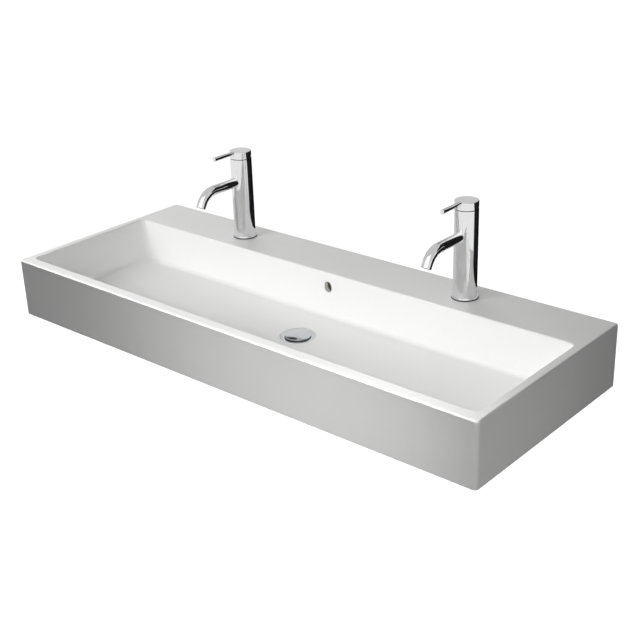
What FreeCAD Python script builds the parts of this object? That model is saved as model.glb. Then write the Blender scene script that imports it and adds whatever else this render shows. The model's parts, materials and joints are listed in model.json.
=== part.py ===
import FreeCAD, Part
import math
import os

# A wide vanity basin in glazed ceramic, with two single-lever mixer taps and a push-open drain.
# Millimetres, +Z up. The origin lies on the back face, midway between the two wall-bolt holes.
# +Y points at the wall, -Y at the user, +X to the user's right.

V = FreeCAD.Vector

# Clearances
RUNNING_GAP = 0.05          # a shaft or peg in its hole, each side
SLIP_GAP = 0.1              # fixed pieces that slip into each other, each side
FREE_GAP = 0.3              # pieces that move past each other
CUT = 1.0                   # how far a cutting shape runs past the face that it opens

# Basin, outside and bowl
BASIN_WIDTH = 1200.0
BASIN_DEPTH = 470.0
BOWL_DEPTH = 98.0           # rim down to the floor, along the walls
FLOOR_TO_FOOT = 32.0        # floor at the walls down to the underside
SIDE_RIM = 20.0
FRONT_RIM = 26.0
DECK_DEPTH = 128.0          # back face to the bowl
FLOOR_FALL = 10.0           # further fall of the floor to the drain
WALL_LEAN = 2.5             # how far each bowl wall leans in on its way down
OUTER_CORNER_R = 8.0
TOP_EDGE_R = 4.0
FOOT_EDGE_R = 3.0
RIM_EDGE_R = 3.0
BOWL_CORNER_R = 14.0
FLOOR_FILLET_R = 10.0
FLOOR_SPARE = 4.0           # floor surface past the bowl's walls
FLOOR_STEP_X = 73.0         # between the points that shape the floor
FLOOR_STEP_Y = 27.0

# Basin, hidden walls
DECK_THICKNESS = 13.0
FLOOR_THICKNESS = 10.0
BACK_WALL = 10.0            # against the room's wall
BOWL_WALL = 10.0            # between the bowl and the space under the deck
FOOT_MARGIN = 8.0           # bowl walls to the recess under the floor
SERVICE_END_WALL = 16.0     # ends of the space under the deck
HOLLOW_CORNER_R = 10.0

# Wall fixing
WALL_BOLT_SPACING = 700.0
WALL_BOLT_HOLE = 18.0
WALL_BOLT_DROP = 60.0       # below the deck

# Overflow
OVERFLOW_WIDTH = 19.0
OVERFLOW_SIDE_HEIGHT = 5.0  # upright sides of the hole, between its round ends
OVERFLOW_DROP = 32.0        # centre of the hole below the rim
CHANNEL_WIDTH = 50.0
CHANNEL_DEPTH = 16.0
CHANNEL_WALL = 8.0
CHANNEL_HEADROOM = 5.0      # above the hole
DUCT_WIDTH = 36.0           # the stretch under the floor, to the drain
DUCT_HEIGHT = 7.0
DUCT_ROOF = 6.0
DUCT_FLOOR = 5.0

# Drain
DRAIN_FROM_BACK = 229.0
BODY_DIAMETER = 41.9        # crest of a G 1 1/4 thread
BODY_WALL = 3.45
BODY_LENGTH = 78.0          # flange top to the tail's end
HOLE_GAP = 2.0              # round the drain body, where the overflow water gathers
RECESS_GAP = 1.0            # round the flange, in the floor
FLANGE_REVEAL = 8.5         # flange showing round the plug
FLANGE_THICKNESS = 2.0
FLANGE_EDGE_R = 0.7
TOP_GASKET_THICKNESS = 1.0
SEAT_BEVEL = 3.0
WINDOW_WIDTH = 14.0
BOSS_WALL = 12.0
LOWER_GASKET_THICKNESS = 5.0
LOWER_GASKET_WIDTH = 12.0
LOWER_GASKET_BEVEL = 2.5
WASHER_THICKNESS = 1.5
WASHER_WIDTH = 10.0
DRAIN_NUT_HEIGHT = 9.0
DRAIN_NUT_WALL = 5.5
TAIL_BEVEL = 1.0
RELIEF_BELOW_NUT = 1.5      # plain groove between the nut's thread and the trap's thread
RELIEF_WIDTH = 1.5
RELIEF_DEPTH = 0.8
BAR_WIDTH = 5.0             # bar across the drain, which carries the click unit
BAR_HEIGHT = 7.0
BAR_BELOW_DUCT = 1.0
HUB_WALL = 2.0
HUB_LENGTH = 12.0

# Push-open plug
SEAL_THICKNESS = 2.2
SEAL_WIDTH = 4.5
SEAL_TO_LIP = 1.0
PLUG_LIP = 2.0              # width of the rim's downward lip
PLUG_PLATE = 1.6            # plate over the seal, at the rim
PLUG_CROWN = 1.4
PLUG_EDGE_R = 0.8
PLUG_TRAVEL = 8.0
PLUG_BOSS_WALL = 3.0
PLUG_BOSS_LENGTH = 5.0
PLUG_STEM_DIAMETER = 8.0
PISTON_DIAMETER = 12.4
PISTON_LENGTH = 4.0
CLICK_WALL = 1.9
CLICK_FLOOR = 2.0
CLICK_ROOF = 3.0
CLICK_COLLAR = 2.0
CLICK_ABOVE_HUB = 3.0
CLICK_SPARE = 3.0           # room above the piston when the plug is up
SPRING_LENGTH = 10.0        # with the plug shut
SPRING_WIRE = 1.0
SPRING_TURNS = 5

# Taps, outside
TAP_SPACING = 600.0
TAP_FROM_BACK = 65.0
TAP_HEIGHT = 200.0
COLUMN_WALL = 5.5
COLUMN_EDGE_R = 0.4
BASE_RING_LEDGE = 2.75      # base ring past the column
BASE_RING_THICKNESS = 3.0
BASE_RING_EDGE_R = 1.0
BASE_GASKET_THICKNESS = 0.8
SPOUT_DIAMETER = 21.5
SPOUT_WALL = 1.6
SPOUT_STRAIGHT_LENGTH = 90.0  # tap axis to the start of the bend
SPOUT_BEND_R = 42.0
SPOUT_BEND_ANGLE = 60.0     # degrees
SPOUT_END = 10.0            # straight length after the bend
SPOUT_SOCKET = 13.0         # how far the spout reaches into the valve core
SPOUT_LIP_R = 0.5
AERATOR_LENGTH = 8.0
AERATOR_RECESS = 1.0
AERATOR_EDGE = 1.6          # outer ring of holes to the rim
AERATOR_HOLE = 1.9
AERATOR_RINGS = 2

# Taps, handle
CAP_SEAM = 1.0              # gap between the column and the cap
CAP_ROOF = 1.9
CAP_EDGE_R = 1.2
DOME_SETBACK = 3.5          # ball of the dome, inside the column's outline
DOME_HEIGHT = 6.0
DOME_LAND = 1.6             # flat ring on top of the dome
DOME_GAP = 0.6              # dome to the cap's inner sphere
LEVER_LIFT = 20.0           # degrees
LEVER_REACH = 82.0          # tap axis to the lever's tip
LEVER_ROOT_DIAMETER = 8.6
LEVER_TIP_DIAMETER = 9.6
LEVER_SHANK_DIAMETER = 3.8
LEVER_BELOW_TOP = 1.8       # axis of the bar, under the cap's top
SHANK_BELOW_TOP = 4.2       # axis of its shank, and of the cap's screw
LEVER_EDGE_R = 0.6
LEVER_TO_STEM = 2.0         # wall between the lever's shank and the stem
HUB_DIAMETER = 17.0
HUB_GAP = 0.8               # over the rotor, with the lever up
CAP_SCREW_DIAMETER = 4.0
STEM_WIDTH = 8.0
STEM_DEPTH = 6.0
STEM_BELOW_TOP = 5.0
STEM_NECK_DEPTH = 2.8
STEM_NECK_LENGTH = 8.0
TIP_BELOW_PIVOT = 14.0
TIP_DIAMETER = 6.0

# Taps, cartridge and valve core
CARTRIDGE_DIAMETER = 35.0
CARTRIDGE_GAP = 1.0         # cartridge to the column's bore
CARTRIDGE_WALL = 3.0
CARTRIDGE_FLOOR = 4.0
CARTRIDGE_LOWER = 28.0      # underside to the shoulder that the nut presses on
CARTRIDGE_SHOULDER = 1.2
CARTRIDGE_NECK = 7.0        # shoulder to the top
CARTRIDGE_ROOF = 3.0
NUT_HEIGHT = 7.5
DISC_THICKNESS = 4.0
DISC_GAP = 0.05
MOVING_DISC_DIAMETER = 19.0
SADDLE_HEIGHT = 6.0
SADDLE_DIAMETER = 15.0
ROTOR_NECK_DIAMETER = 21.0
ROTOR_ABOVE_SADDLE = 2.0
PIVOT_INSET = 2.7           # pivot below the top of the rotor's flange
PIVOT_PIN_DIAMETER = 3.0
PIVOT_PIN_INSET = 1.2       # pin's end inside the rotor's flange
SEAL_RING_WIDTH = 1.2
SEAL_RING_THICKNESS = 1.0
CORE_ABOVE_SPOUT = 16.0     # spout's axis to the core's top
CORE_BELOW_SPOUT = 19.0
PASSAGE_DIAMETER = 7.0
OUTLET_Y = -9.0             # passage for mixed water

# Taps, foot and fixing under the deck
FOOT_HEIGHT = 16.0          # above the base ring
FOOT_SHOULDER = 1.9         # how far the foot stands on the base ring
FOOT_SPIGOT = 8.0           # depth in the deck's hole
FOOT_SPIGOT_GAP = 1.0
PORT_DIAMETER = 9.0         # root of an M10 x 1 thread
PORT_LENGTH = 16.0
PORT_X = 8.5
PORT_Y = 4.0
FEED_DIAMETER = 10.0
FEED_WALL = 1.0
FEED_SOCKET = 6.0
STUD_DIAMETER = 8.0
STUD_Y = -9.0
STUD_IN_FOOT = 18.0
STUD_BELOW_NUT = 30.0
STUD_NUT_FLATS = 13.0
STUD_NUT_HEIGHT = 6.5
CLAMP_LEDGE = 6.5           # clamp past the deck's hole
CLAMP_GASKET_THICKNESS = 2.0
CLAMP_PLATE_THICKNESS = 3.0
CLAMP_SLOT_MARGIN = 1.3     # past each supply hose

# Basin places
HALF_WIDTH = BASIN_WIDTH / 2
BOWL_HALF_WIDTH = HALF_WIDTH - SIDE_RIM
BOWL_FRONT = FRONT_RIM - BASIN_DEPTH
BOWL_BACK = -DECK_DEPTH
Z_DECK = WALL_BOLT_DROP
Z_FLOOR = Z_DECK - BOWL_DEPTH
Z_FOOT = Z_FLOOR - FLOOR_TO_FOOT
OVERFLOW_HEIGHT = OVERFLOW_WIDTH + OVERFLOW_SIDE_HEIGHT

# Drain places
DRAIN_Y = -DRAIN_FROM_BACK
BODY_R = BODY_DIAMETER / 2
BODY_BORE_R = BODY_R - BODY_WALL
DRAIN_HOLE_R = BODY_R + HOLE_GAP
SEAL_R = BODY_BORE_R + SEAT_BEVEL
PLUG_R = SEAL_R + SEAL_WIDTH + SEAL_TO_LIP + PLUG_LIP
FLANGE_R = PLUG_R + FLANGE_REVEAL
CLICK_BORE_R = PISTON_DIAMETER / 2 + FREE_GAP
CLICK_R = CLICK_BORE_R + CLICK_WALL
Z_FLANGE = Z_FLOOR - FLOOR_FALL
Z_SEAT = Z_FLANGE - FLANGE_THICKNESS - TOP_GASKET_THICKNESS
Z_DUCT_TOP = Z_SEAT - DUCT_ROOF
Z_DUCT_BOTTOM = Z_DUCT_TOP - DUCT_HEIGHT
Z_BOSS = Z_DUCT_BOTTOM - DUCT_FLOOR
Z_WASHER_TOP = Z_BOSS - LOWER_GASKET_THICKNESS
Z_NUT_TOP = Z_WASHER_TOP - WASHER_THICKNESS
Z_NUT_FOOT = Z_NUT_TOP - DRAIN_NUT_HEIGHT
Z_HUB = Z_DUCT_BOTTOM - BAR_BELOW_DUCT
Z_CLICK_TOP = Z_HUB + CLICK_ABOVE_HUB
Z_PISTON = Z_CLICK_TOP - CLICK_ROOF - CLICK_SPARE - PLUG_TRAVEL - PISTON_LENGTH
Z_CLICK_FLOOR = Z_PISTON - SPRING_LENGTH
Z_PLUG_RIM = Z_FLANGE + FREE_GAP
Z_PLUG_UNDER = Z_PLUG_RIM + SEAL_THICKNESS

# Tap places: heights above the deck, about the tap's own axis
TAP_X = TAP_SPACING / 2
TAP_Y = -TAP_FROM_BACK
COLUMN_BORE_R = CARTRIDGE_DIAMETER / 2 + CARTRIDGE_GAP
COLUMN_R = COLUMN_BORE_R + COLUMN_WALL
INSERT_R = COLUMN_BORE_R - SLIP_GAP
BASE_RING_R = COLUMN_R + BASE_RING_LEDGE
SPIGOT_R = INSERT_R - FOOT_SHOULDER
RING_BORE_R = SPIGOT_R + SLIP_GAP
TAP_HOLE_R = SPIGOT_R + FOOT_SPIGOT_GAP
CLAMP_R = TAP_HOLE_R + CLAMP_LEDGE
SPOUT_R = SPOUT_DIAMETER / 2
FEED_R = FEED_DIAMETER / 2
DOME_R = COLUMN_R - DOME_SETBACK
CAP_SPHERE_R = DOME_R + DOME_GAP
CARTRIDGE_INSIDE_R = CARTRIDGE_DIAMETER / 2 - CARTRIDGE_WALL
CARTRIDGE_NECK_R = CARTRIDGE_DIAMETER / 2 - CARTRIDGE_SHOULDER
ROTOR_R = CARTRIDGE_INSIDE_R - FREE_GAP
LIFT = math.radians(LEVER_LIFT)
DISC_STROKE = TIP_BELOW_PIVOT * LIFT
PIVOT_BELOW_COLUMN_TOP = NUT_HEIGHT - CARTRIDGE_NECK + CARTRIDGE_ROOF + FREE_GAP + PIVOT_INSET
CAP_HEIGHT = CAP_SPHERE_R + CAP_ROOF - PIVOT_BELOW_COLUMN_TOP - CAP_SEAM
Z_RING = BASE_GASKET_THICKNESS
Z_COLUMN = Z_RING + BASE_RING_THICKNESS
Z_FOOT_TOP = Z_COLUMN + FOOT_HEIGHT
Z_CAP_FOOT = TAP_HEIGHT - CAP_HEIGHT
Z_COLUMN_TOP = Z_CAP_FOOT - CAP_SEAM
Z_PIVOT = Z_COLUMN_TOP - PIVOT_BELOW_COLUMN_TOP
Z_LEVER = TAP_HEIGHT - LEVER_BELOW_TOP
Z_SHANK = TAP_HEIGHT - SHANK_BELOW_TOP
Z_SHOULDER = Z_COLUMN_TOP - NUT_HEIGHT
Z_CARTRIDGE = Z_SHOULDER - CARTRIDGE_LOWER
Z_CARTRIDGE_TOP = Z_SHOULDER + CARTRIDGE_NECK
Z_ROTOR_FLANGE = Z_CARTRIDGE_TOP - CARTRIDGE_ROOF - FREE_GAP
Z_FIXED_DISC = Z_CARTRIDGE + CARTRIDGE_FLOOR
Z_MOVING_DISC = Z_FIXED_DISC + DISC_THICKNESS + DISC_GAP
Z_SADDLE = Z_MOVING_DISC + DISC_THICKNESS
Z_SADDLE_TOP = Z_SADDLE + SADDLE_HEIGHT
Z_CORE_TOP = Z_CARTRIDGE - SEAL_RING_THICKNESS
Z_SPOUT = Z_CORE_TOP - CORE_ABOVE_SPOUT
Z_CORE = Z_SPOUT - CORE_BELOW_SPOUT
INLETS = ((-PORT_X, PORT_Y), (PORT_X, PORT_Y))
PASSAGES = INLETS + ((0.0, OUTLET_Y),)


# Building blocks
def box(x0, x1, y0, y1, z0, z1):
    return Part.makeBox(x1 - x0, y1 - y0, z1 - z0, V(x0, y0, z0))


def post(radius, z0, z1, x=0.0, y=0.0):
    """An upright cylinder from height z0 to z1."""
    return Part.makeCylinder(radius, z1 - z0, V(x, y, z0))


def ring(inner, outer, z0, z1, x=0.0, y=0.0):
    return post(outer, z0, z1, x, y).cut(post(inner, z0 - CUT, z1 + CUT, x, y))


def rod(radius, start, direction, length):
    return Part.makeCylinder(radius, length, start, direction)


def rounded_outline(x0, x1, y0, y1, radius, z):
    """A rectangle with round corners, as a closed wire at height z."""
    inset = radius * (1 - math.sqrt(0.5))
    arcs = (
        (V(x1 - radius, y0, z), V(x1 - inset, y0 + inset, z), V(x1, y0 + radius, z)),
        (V(x1, y1 - radius, z), V(x1 - inset, y1 - inset, z), V(x1 - radius, y1, z)),
        (V(x0 + radius, y1, z), V(x0 + inset, y1 - inset, z), V(x0, y1 - radius, z)),
        (V(x0, y0 + radius, z), V(x0 + inset, y0 + inset, z), V(x0 + radius, y0, z)),
    )
    edges = []
    for i, arc in enumerate(arcs):
        following = arcs[(i + 1) % len(arcs)]
        edges.append(Part.Arc(*arc).toShape())
        edges.append(Part.LineSegment(arc[2], following[0]).toShape())
    return Part.Wire(edges)


def rounded_prism(x0, x1, y0, y1, radius, z0, z1):
    return Part.Face(rounded_outline(x0, x1, y0, y1, radius, z0)).extrude(V(0, 0, z1 - z0))


def hexagon(flats, z0, z1, x=0.0, y=0.0):
    corner_r = flats / math.sqrt(3)
    corners = []
    for k in range(7):
        turn = k * math.pi / 3
        corners.append(V(x + corner_r * math.cos(turn), y + corner_r * math.sin(turn), z0))
    return Part.Face(Part.makePolygon(corners)).extrude(V(0, 0, z1 - z0))


def edges_at(shape, z, test=None):
    """The edges that lie wholly at height z, and whose middle passes a test."""
    found = []
    for edge in shape.Edges:
        bounds = edge.BoundBox
        level = abs(bounds.ZMin - z) < SLIP_GAP and abs(bounds.ZMax - z) < SLIP_GAP
        if level and (test is None or test(edge.CenterOfMass)):
            found.append(edge)
    return found


def save(name, shape):
    shape.exportStep(f"parts/{name}.step")
    print(f"{name}: {len(shape.Solids)} solid(s), valid {shape.isValid()}, {shape.Volume / 1000:.2f} cm3")


# Basin
def fall_share(position, centre, low, high):
    """From 0 at a wall to 1 at the drain, level at both."""
    reach = (high - centre) if position > centre else (centre - low)
    return (1 + math.cos(math.pi * abs(position - centre) / reach)) / 2


def below_floor(z_edge):
    """Everything under a dish that is level along the bowl's walls and falls to the drain."""
    x_reach = BOWL_HALF_WIDTH + FLOOR_SPARE
    y_low = BOWL_FRONT - FLOOR_SPARE
    y_high = BOWL_BACK + FLOOR_SPARE
    count_x = round(2 * x_reach / FLOOR_STEP_X)
    count_y = round((y_high - y_low) / FLOOR_STEP_Y)
    rows = []
    for i in range(count_x + 1):
        x = x_reach * (2 * i / count_x - 1)
        row = []
        for j in range(count_y + 1):
            y = y_low + (y_high - y_low) * j / count_y
            share = fall_share(x, 0, -x_reach, x_reach) * fall_share(y, DRAIN_Y, y_low, y_high)
            row.append(V(x, y, z_edge - FLOOR_FALL * share))
        rows.append(row)
    surface = Part.BSplineSurface()
    surface.interpolate(rows)
    return surface.toShape().extrude(V(0, 0, -2 * (FLOOR_FALL + FLOOR_TO_FOOT)))


def bowl_space():
    """The space inside the bowl: leaning walls, a dished floor and a rounded foot to the walls."""
    wires = []
    for z in (Z_DECK + CUT, Z_FLANGE - CUT):
        inset = WALL_LEAN * (Z_DECK - z) / BOWL_DEPTH
        wires.append(rounded_outline(-BOWL_HALF_WIDTH + inset, BOWL_HALF_WIDTH - inset,
                                     BOWL_FRONT + inset, BOWL_BACK - inset, BOWL_CORNER_R, z))
    space = Part.makeLoft(wires, True, True).cut(below_floor(Z_FLOOR))
    floor = min(space.Faces, key=lambda face: face.CenterOfMass.z)
    return space.makeFillet(min(FLOOR_FILLET_R, BOWL_CORNER_R - CUT), floor.Edges)


def overflow_block():
    """The ceramic round the overflow channel and the drain, behind the bowl and under its floor."""
    half = CHANNEL_WIDTH / 2 + CHANNEL_WALL
    y_front = BOWL_BACK - WALL_LEAN
    y_back = BOWL_BACK + BOWL_WALL + CHANNEL_DEPTH + CHANNEL_WALL
    upright = box(-half, half, y_front, y_back, Z_BOSS, Z_DECK - DECK_THICKNESS / 2)
    boss = post(DRAIN_HOLE_R + BOSS_WALL, Z_BOSS, Z_SEAT, 0, DRAIN_Y)
    run_half = DUCT_WIDTH / 2 + CHANNEL_WALL
    run = box(-run_half, run_half, DRAIN_Y, y_front, Z_BOSS, Z_SEAT)
    return upright.fuse([boss, run])


def overflow_channel():
    """The way of the overflow water: hole, upright channel, and the duct to the drain."""
    z_hole = Z_DECK - OVERFLOW_DROP
    z_top = z_hole + OVERFLOW_HEIGHT / 2 + CHANNEL_HEADROOM
    y_wall = BOWL_BACK + BOWL_WALL
    y_end = y_wall + CHANNEL_DEPTH
    upright = box(-CHANNEL_WIDTH / 2, CHANNEL_WIDTH / 2, y_wall, y_end, Z_DUCT_BOTTOM, z_top)
    duct = box(-DUCT_WIDTH / 2, DUCT_WIDTH / 2, DRAIN_Y, y_end, Z_DUCT_BOTTOM, Z_DUCT_TOP)
    radius = OVERFLOW_WIDTH / 2
    half_run = OVERFLOW_SIDE_HEIGHT / 2
    y_start = BOWL_BACK - WALL_LEAN - CUT
    hole = box(-radius, radius, y_start, y_wall + CUT, z_hole - half_run, z_hole + half_run)
    for z in (z_hole - half_run, z_hole + half_run):
        hole = hole.fuse(rod(radius, V(0, y_start, z), V(0, 1, 0), y_wall + CUT - y_start))
    return upright.fuse([duct, hole])


def basin():
    outer = rounded_prism(-HALF_WIDTH, HALF_WIDTH, -BASIN_DEPTH, 0, OUTER_CORNER_R, Z_FOOT, Z_DECK)
    outer = outer.makeFillet(min(TOP_EDGE_R, OUTER_CORNER_R - CUT), edges_at(outer, Z_DECK))
    outer = outer.makeFillet(min(FOOT_EDGE_R, OUTER_CORNER_R - CUT), edges_at(outer, Z_FOOT))
    under_floor = rounded_prism(-BOWL_HALF_WIDTH + FOOT_MARGIN, BOWL_HALF_WIDTH - FOOT_MARGIN,
                                BOWL_FRONT + FOOT_MARGIN, BOWL_BACK - FOOT_MARGIN,
                                HOLLOW_CORNER_R, Z_FOOT - CUT, Z_FLOOR)
    under_floor = under_floor.common(below_floor(Z_FLOOR - FLOOR_THICKNESS))
    under_deck = rounded_prism(-HALF_WIDTH + SERVICE_END_WALL, HALF_WIDTH - SERVICE_END_WALL,
                               BOWL_BACK + BOWL_WALL, -BACK_WALL,
                               HOLLOW_CORNER_R, Z_FOOT - CUT, Z_DECK - DECK_THICKNESS)
    shape = outer.cut([under_floor, under_deck]).fuse(overflow_block())
    cuts = [
        bowl_space(),
        overflow_channel(),
        post(DRAIN_HOLE_R, Z_BOSS - CUT, Z_DECK, 0, DRAIN_Y),
        post(FLANGE_R + RECESS_GAP, Z_SEAT, Z_DECK, 0, DRAIN_Y),
    ]
    for side in (-1, 1):
        bolt_x = side * WALL_BOLT_SPACING / 2
        cuts.append(post(TAP_HOLE_R, Z_DECK - DECK_THICKNESS - CUT, Z_DECK + CUT, side * TAP_X, TAP_Y))
        cuts.append(rod(WALL_BOLT_HOLE / 2, V(bolt_x, CUT, 0), V(0, -1, 0), BACK_WALL + 2 * CUT))
    shape = shape.cut(cuts)

    def on_bowl_rim(point):
        return abs(point.x) < BOWL_HALF_WIDTH + CUT and BOWL_FRONT - CUT < point.y < BOWL_BACK + CUT

    return shape.makeFillet(RIM_EDGE_R, edges_at(shape, Z_DECK, on_bowl_rim))


# Drain, about its own axis
def drain_body():
    """Flange, threaded tube with windows for the overflow water, and the bar with the hub."""
    z_tail = Z_FLANGE - BODY_LENGTH
    flange = post(FLANGE_R, Z_FLANGE - FLANGE_THICKNESS, Z_FLANGE)
    flange = flange.makeFillet(FLANGE_EDGE_R, edges_at(flange, Z_FLANGE))
    tube = post(BODY_R, z_tail, Z_FLANGE - FLANGE_THICKNESS)
    tube = tube.makeChamfer(TAIL_BEVEL, edges_at(tube, z_tail))
    z_relief = Z_NUT_FOOT - RELIEF_BELOW_NUT
    tube = tube.cut(ring(BODY_R - RELIEF_DEPTH, BODY_R + CUT, z_relief - RELIEF_WIDTH, z_relief))
    shape = flange.fuse(tube).cut(post(BODY_BORE_R, z_tail - CUT, Z_FLANGE + CUT))
    shape = shape.cut(Part.makeCone(BODY_BORE_R, SEAL_R, SEAT_BEVEL, V(0, 0, Z_FLANGE - SEAT_BEVEL)))
    half = WINDOW_WIDTH / 2
    past = BODY_R + CUT
    shape = shape.cut([box(-half, half, -past, past, Z_DUCT_BOTTOM, Z_DUCT_TOP),
                       box(-past, past, -half, half, Z_DUCT_BOTTOM, Z_DUCT_TOP)])
    reach = BODY_BORE_R + BODY_WALL / 2
    bar = box(-reach, reach, -BAR_WIDTH / 2, BAR_WIDTH / 2, Z_HUB - BAR_HEIGHT, Z_HUB)
    hub = post(CLICK_R + SLIP_GAP + HUB_WALL, Z_HUB - HUB_LENGTH, Z_HUB)
    seat = post(CLICK_R + SLIP_GAP, Z_HUB - HUB_LENGTH - CUT, Z_HUB + CUT)
    return shape.fuse([bar, hub]).cut(seat)


def drain_lower_gasket():
    shape = post(BODY_R + LOWER_GASKET_WIDTH, Z_WASHER_TOP, Z_BOSS)
    shape = shape.makeChamfer(LOWER_GASKET_BEVEL, edges_at(shape, Z_WASHER_TOP))
    return shape.cut(post(BODY_R + SLIP_GAP, Z_WASHER_TOP - CUT, Z_BOSS + CUT))


def drain_nut():
    shape = hexagon(2 * (BODY_R + DRAIN_NUT_WALL), Z_NUT_FOOT, Z_NUT_TOP)
    return shape.cut(post(BODY_R + SLIP_GAP, Z_NUT_FOOT - CUT, Z_NUT_TOP + CUT))


def click_cartridge():
    """A closed cup round the spring and piston, with a collar that sits on the drain's hub."""
    cup = post(CLICK_R, Z_CLICK_FLOOR - CLICK_FLOOR, Z_CLICK_TOP)
    collar = post(CLICK_R + SLIP_GAP + HUB_WALL, Z_HUB, Z_HUB + CLICK_COLLAR)
    inside = post(CLICK_BORE_R, Z_CLICK_FLOOR, Z_CLICK_TOP - CLICK_ROOF)
    guide = post(PLUG_STEM_DIAMETER / 2 + RUNNING_GAP, Z_CLICK_FLOOR + CUT, Z_CLICK_TOP + CUT)
    return cup.fuse(collar).cut([inside, guide])


def click_spring():
    """A coil of square wire between the click unit's floor and the piston."""
    height = SPRING_LENGTH - SPRING_WIRE
    pitch = height / SPRING_TURNS
    coil_r = (PISTON_DIAMETER - SPRING_WIRE) / 2
    half = SPRING_WIRE / 2
    corners = [V(coil_r + half, 0, half), V(coil_r - half, 0, half),
               V(coil_r - half, 0, -half), V(coil_r + half, 0, -half)]
    section = Part.makePolygon(corners + corners[:1])
    coil = Part.Wire(Part.makeHelix(pitch, height, coil_r)).makePipeShell([section], True, True)
    print(f"click_spring: gap between turns {pitch - SPRING_WIRE:.2f}")
    return coil.translated(V(0, 0, Z_CLICK_FLOOR + half))


def plug_stem():
    piston = post(PISTON_DIAMETER / 2, Z_PISTON, Z_PISTON + PISTON_LENGTH)
    return piston.fuse(post(PLUG_STEM_DIAMETER / 2, Z_PISTON, Z_PLUG_UNDER - SLIP_GAP))


def plug_cap():
    """A crowned lid with a lip round its edge and a threaded boss for the stem."""
    z_edge = Z_PLUG_UNDER + PLUG_PLATE
    sphere_r = (PLUG_R ** 2 + PLUG_CROWN ** 2) / (2 * PLUG_CROWN)
    lid = post(PLUG_R, Z_PLUG_RIM, z_edge + 2 * PLUG_CROWN)
    lid = lid.common(Part.makeSphere(sphere_r, V(0, 0, z_edge + PLUG_CROWN - sphere_r)))
    lid = lid.makeFillet(PLUG_EDGE_R, edges_at(lid, z_edge))
    lid = lid.cut(post(PLUG_R - PLUG_LIP, Z_PLUG_RIM - CUT, Z_PLUG_UNDER))
    hole_r = PLUG_STEM_DIAMETER / 2 + RUNNING_GAP
    z_boss = Z_PLUG_UNDER - PLUG_BOSS_LENGTH
    lid = lid.fuse(post(hole_r + PLUG_BOSS_WALL, z_boss, Z_PLUG_UNDER))
    return lid.cut(post(hole_r, z_boss - CUT, Z_PLUG_UNDER))


def drain_parts():
    body_fit = BODY_R + SLIP_GAP
    return {
        "drain_body": drain_body(),
        "drain_top_gasket": ring(body_fit, FLANGE_R - RECESS_GAP, Z_SEAT, Z_FLANGE - FLANGE_THICKNESS),
        "drain_lower_gasket": drain_lower_gasket(),
        "drain_washer": ring(body_fit, BODY_R + WASHER_WIDTH, Z_NUT_TOP, Z_WASHER_TOP),
        "drain_nut": drain_nut(),
        "click_cartridge": click_cartridge(),
        "click_spring": click_spring(),
        "plug_stem": plug_stem(),
        "plug_cap": plug_cap(),
        "plug_seal": ring(SEAL_R, SEAL_R + SEAL_WIDTH, Z_PLUG_RIM, Z_PLUG_UNDER),
    }


# Taps: foot, column and spout
def base_ring():
    shape = post(BASE_RING_R, Z_RING, Z_COLUMN)
    shape = shape.makeFillet(BASE_RING_EDGE_R, edges_at(shape, Z_COLUMN))
    return shape.cut(post(RING_BORE_R, Z_RING - CUT, Z_COLUMN + CUT))


def column():
    shape = post(COLUMN_R, Z_COLUMN, Z_COLUMN_TOP)
    shape = shape.makeFillet(COLUMN_EDGE_R, edges_at(shape, Z_COLUMN_TOP))
    shape = shape.cut(post(COLUMN_BORE_R, Z_COLUMN - CUT, Z_COLUMN_TOP + CUT))
    return shape.cut(rod(SPOUT_R + RUNNING_GAP, V(0, 0, Z_SPOUT), V(0, -1, 0), COLUMN_R + CUT))


def foot():
    """Stands in the column, passes the deck, and takes two supply hoses and the stud."""
    z_low = -FOOT_SPIGOT
    z_socket = Z_FOOT_TOP - FEED_SOCKET
    shape = post(INSERT_R, Z_COLUMN, Z_FOOT_TOP).fuse(post(SPIGOT_R, z_low, Z_COLUMN))
    cuts = [post(STUD_DIAMETER / 2 + RUNNING_GAP, z_low - CUT, z_low + STUD_IN_FOOT, 0, STUD_Y)]
    for x, y in INLETS:
        cuts.append(post(PORT_DIAMETER / 2, z_low - CUT, z_low + PORT_LENGTH, x, y))
        cuts.append(post(FEED_R - FEED_WALL, z_low, z_socket + CUT, x, y))
        cuts.append(post(FEED_R + RUNNING_GAP, z_socket, Z_FOOT_TOP + CUT, x, y))
    return shape.cut(cuts)


def feed_tubes():
    z0 = Z_FOOT_TOP - FEED_SOCKET
    z1 = Z_CORE + FEED_SOCKET
    return Part.makeCompound([ring(FEED_R - FEED_WALL, FEED_R, z0, z1, x, y) for x, y in INLETS])


def valve_core():
    """Leads hot and cold water up to the cartridge, and mixed water back to the spout."""
    socket_end = V(0, SPOUT_SOCKET - INSERT_R, Z_SPOUT)
    cuts = [rod(SPOUT_R + RUNNING_GAP, socket_end, V(0, -1, 0), INSERT_R),
            post(PASSAGE_DIAMETER / 2, Z_SPOUT, Z_CORE_TOP + CUT, 0, OUTLET_Y)]
    for x, y in INLETS:
        cuts.append(post(FEED_R + RUNNING_GAP, Z_CORE - CUT, Z_CORE + FEED_SOCKET, x, y))
        cuts.append(post(PASSAGE_DIAMETER / 2, Z_CORE, Z_CORE_TOP + CUT, x, y))
    return post(INSERT_R, Z_CORE, Z_CORE_TOP).cut(cuts)


def spout_direction():
    """The way the water leaves."""
    turn = math.radians(SPOUT_BEND_ANGLE)
    return V(0, -math.cos(turn), -math.sin(turn))


def bend_end():
    turn = math.radians(SPOUT_BEND_ANGLE)
    forward = SPOUT_STRAIGHT_LENGTH + SPOUT_BEND_R * math.sin(turn)
    return V(0, -forward, Z_SPOUT - SPOUT_BEND_R * (1 - math.cos(turn)))


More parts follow.
